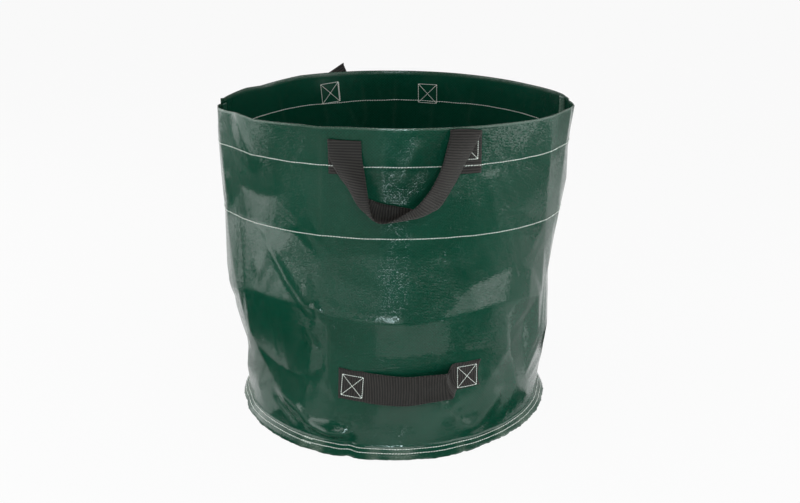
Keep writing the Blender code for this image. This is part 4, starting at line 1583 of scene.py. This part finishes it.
def bend_below(rows):
    """From where to where a lifted strap bends: along it, and square to its fold line."""
    middle = rows[0][ACROSS // 2]
    fold_line = unit(rows[0][-1] - rows[0][0])
    down = rows[BEND_ROW][ACROSS // 2] - middle
    down = unit(down - fold_line * (down @ fold_line))
    return middle + down * BEND_FROM, middle + down * BEND_TO


def hang(face, side, rows, bend=None):
    """One sewn end, held to the bag, and one half of the free strap; the strap's bend is worked out but not
    applied.
    """
    handle = f"{face}_handle"
    tab, strap = sewn_end(rows[0], face, rows)
    end = ribbon(f"{handle}_sewn_end_{side}", tab, flip=True)
    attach(end, "bag")
    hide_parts(f"{handle}_{side}_tab")
    half = ribbon(f"{handle}_strap_{side}", strap, flip=True)
    start, finish = bend or bend_below(rows)
    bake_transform(half)
    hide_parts(f"{handle}_loop")


for side, rows in halves(front_rows).items():
    hang("front", side, rows)

# %% [markdown]
# The back handle hangs outside, and only a corner of it shows above the rim, where its left end was pushed
# up. The rest of its U is guessed: it turns on edge at the bottom as the front one does. That left half
# can't bend at the rim, because its fold stands above it, so its own bend is listed, though nothing bends
# it.

# %% The back handle
BACK_STATIONS = [
    # outer edge, then inner edge
    ((-130, 187, 506), (-88, 200, 533)),
    ((-129, 190, 489), (-79, 205, 524)),
    ((-125, 196, 469), (-71, 214, 506)),
    ((-118, 203, 446), (-66, 227, 480)),
    ((-108, 209, 424), (-62, 240, 452)),
    ((-88, 214, 406), (-56, 253, 426)),
    ((-60, 218, 395), (-45, 262, 407)),
    ((-27.5, 219, 391), (-27.5, 264, 400)),
    ((6, 219, 395), (-8, 263, 402)),
    ((34, 217, 406), (6, 256, 413)),
    ((55, 214, 424), (17, 245, 431)),
    ((69, 211, 446), (26, 235, 454)),
    ((78, 208, 470), (33, 225, 474)),
    ((84, 206, 490), (36, 217, 491)),
    ((87.5, 205, 505), (38, 212, 505)),
]
BACK_BENDS = {"left": ((-0.115, 0.2, 0.5055), (-0.115, 0.2, 0.487)), "right": None}
back_rows = off_the_wall(ruled(BACK_STATIONS), "back", WEBBING_THICK + STRAP_CLEAR)
for side, rows in halves(back_rows).items():
    hang("back", side, rows, BACK_BENDS[side])

# %% [markdown]
# The lower handle is sewn level across the front. Its free part is slack: it stands off the wall
# most near its right end and turns back there almost at once, and it sags a little in the middle.
# It is one band in two halves, each laid on the bag at its sewn end and free beyond it; where each would
# bend as a hand pulls it out is listed, but nothing bends it.

# %% The lower handle
LOWER_STATIONS = [
    # top edge, then bottom edge
    ((-84, -222, 140), (-85, -227, 90)), ((-72, -226, 138.5), (-74, -231, 90)),
    ((-60, -230, 137), (-63, -235, 89)), ((-46, -234, 137), (-46, -240, 88)),
    ((-29, -238, 137), (-27, -245, 88)), ((-2, -244, 136), (-2, -251, 88)),
    ((18, -247.5, 136), (17, -254, 89)), ((35, -250, 137.5), (35, -256, 91.5)),
    ((51, -250, 139.5), (52, -256, 95)), ((74, -249, 141), (74, -254, 98)),
    ((86, -248, 142.5), (92, -251, 100)), ((90, -244, 145), (97, -246, 100.5)),
    ((91, -236, 146), (99, -238, 101)), ((93, -226, 146), (101, -229, 101.5)),
    ((97, -220, 145.5), (105, -222, 102)), ((112, -214, 145), (114, -218, 102)),
    ((126, -208, 145), (126, -212, 102.5)), ((140, -202, 145), (138, -207, 103)),
]
SEWN_LEFT = (-0.049, -0.034)  # the X where sewn webbing ends, and where it is wholly free
SEWN_RIGHT = (0.103, 0.094)
BENDS_BETWEEN = {"left": (-0.044, -0.012), "right": (0.101, 0.080)}
BAND_OUT = -0.24
BAND_UP = 0.12


def lower_band():
    """Rows of the lower band: free webbing by its edges, and sewn webbing laid on the wall."""
    rows = resample(ruled(LOWER_STATIONS), STATION_STEP)
    share = np.linspace(0, 1, len(rows))[:, None]
    across = rows[..., 0]
    sewn_left = 1 - soft_step(across, *SEWN_LEFT)
    sewn_right = 1 - soft_step(-across, *(-x for x in SEWN_RIGHT))
    sewn = np.where(share < 0.5, sewn_left, sewn_right)
    free = off_the_wall(rows, "front", TAB_LIFT)
    laid = cloth(angle_of(across, rows[..., 2], "front"), rows[..., 2], TAB_LIFT)
    return free + (laid - free) * sewn[..., None]


for side, rows in halves(lower_band()).items():
    band = ribbon(f"lower_handle_band_{side}", rows[:, ::-1], flip=side == "right")
    sewn, loose = BENDS_BETWEEN[side]
    start, finish = (sewn, BAND_OUT, BAND_UP), (loose, BAND_OUT, BAND_UP)
    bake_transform(band)
    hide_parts(f"lower_handle_{side}_tab", "lower_handle_loop")

# %% [markdown]
# Each sewn end is held by a box stitch: a square with a cross, sewn in one go, whose corners are
# where the machine turns. It shows on the webbing and again inside the bag. On the back handle's
# left end the machine ran twice down one side, which leaves a thick line of thread.

# %% Box stitches
BOX_HALF = 0.017
BOX_PITCH = 3.1 * MM
BOX_THREAD = 1.0 * MM
BOX_LIFT = 0.35 * MM
RUN_POINTS = 24
RUNS = ((0, 1), (1, 2), (2, 3), (3, 0), (0, 2), (1, 3))  # from corner to corner
TWICE_SEWN = {"back_handle_left": ((0.9 * MM, 0.0), (-0.6 * MM, 1.2 * MM))}  # shifts of its side
BOXES = {
    "front_handle_left": SEWN_ENDS["front_left"],
    "front_handle_right": SEWN_ENDS["front_right"],
    "back_handle_left": SEWN_ENDS["back_left"],
    "back_handle_right": SEWN_ENDS["back_right"],
    "lower_handle_left": {"face": "front", "box": (-0.0627, 0.1120, -4.5)},
    "lower_handle_right": {"face": "front", "box": (0.1172, 0.1215, 0.0)},
}


def box_runs(middle, level, slant):
    """The six straight runs of a box stitch, as pairs of (across, height)."""
    turn = math.radians(slant)
    corners = []
    for x, z in CORNERS:
        x, z = x * BOX_HALF, z * BOX_HALF
        corners.append((middle + x * math.cos(turn) - z * math.sin(turn),
                        level + x * math.sin(turn) + z * math.cos(turn)))
    return [(corners[a], corners[b]) for a, b in RUNS]


def box_stitch(name, face, box):
    """A box stitch over the webbing and again inside the bag."""
    blocks = []
    runs = box_runs(*box)
    for aside, up in TWICE_SEWN.get(name, ()):
        runs.append(tuple((x + aside, z + up) for x, z in runs[1]))
    stretch = math.cos(math.radians(float(angle_of(box[0], box[1], "front"))))
    for start, end in runs:
        share = np.linspace(0, 1, RUN_POINTS)
        across = box[0] + (start[0] + (end[0] - start[0]) * share - box[0]) * stretch
        height = start[1] + (end[1] - start[1]) * share
        angle = angle_of(across, height, face)
        normals = outward(angle, height)
        over = cloth(angle, height, TAB_LIFT + WEBBING_THICK / 2 + BOX_LIFT)
        blocks.append(stitches(over, normals, BOX_PITCH, BOX_THREAD))
        on_cuff = height.min() > LOWER_ROW
        depth = CUFF_INSET + INSIDE_LIFT if on_cuff else SHEET_THICK + BOX_LIFT
        under = cloth(angle, height, -depth)
        blocks.append(stitches(under, -normals, BOX_PITCH, BOX_THREAD))
    sew(f"{name}_box", blocks, f"{name}_box_stitch")


for name, facts in BOXES.items():
    box_stitch(name, facts["face"], facts["box"])
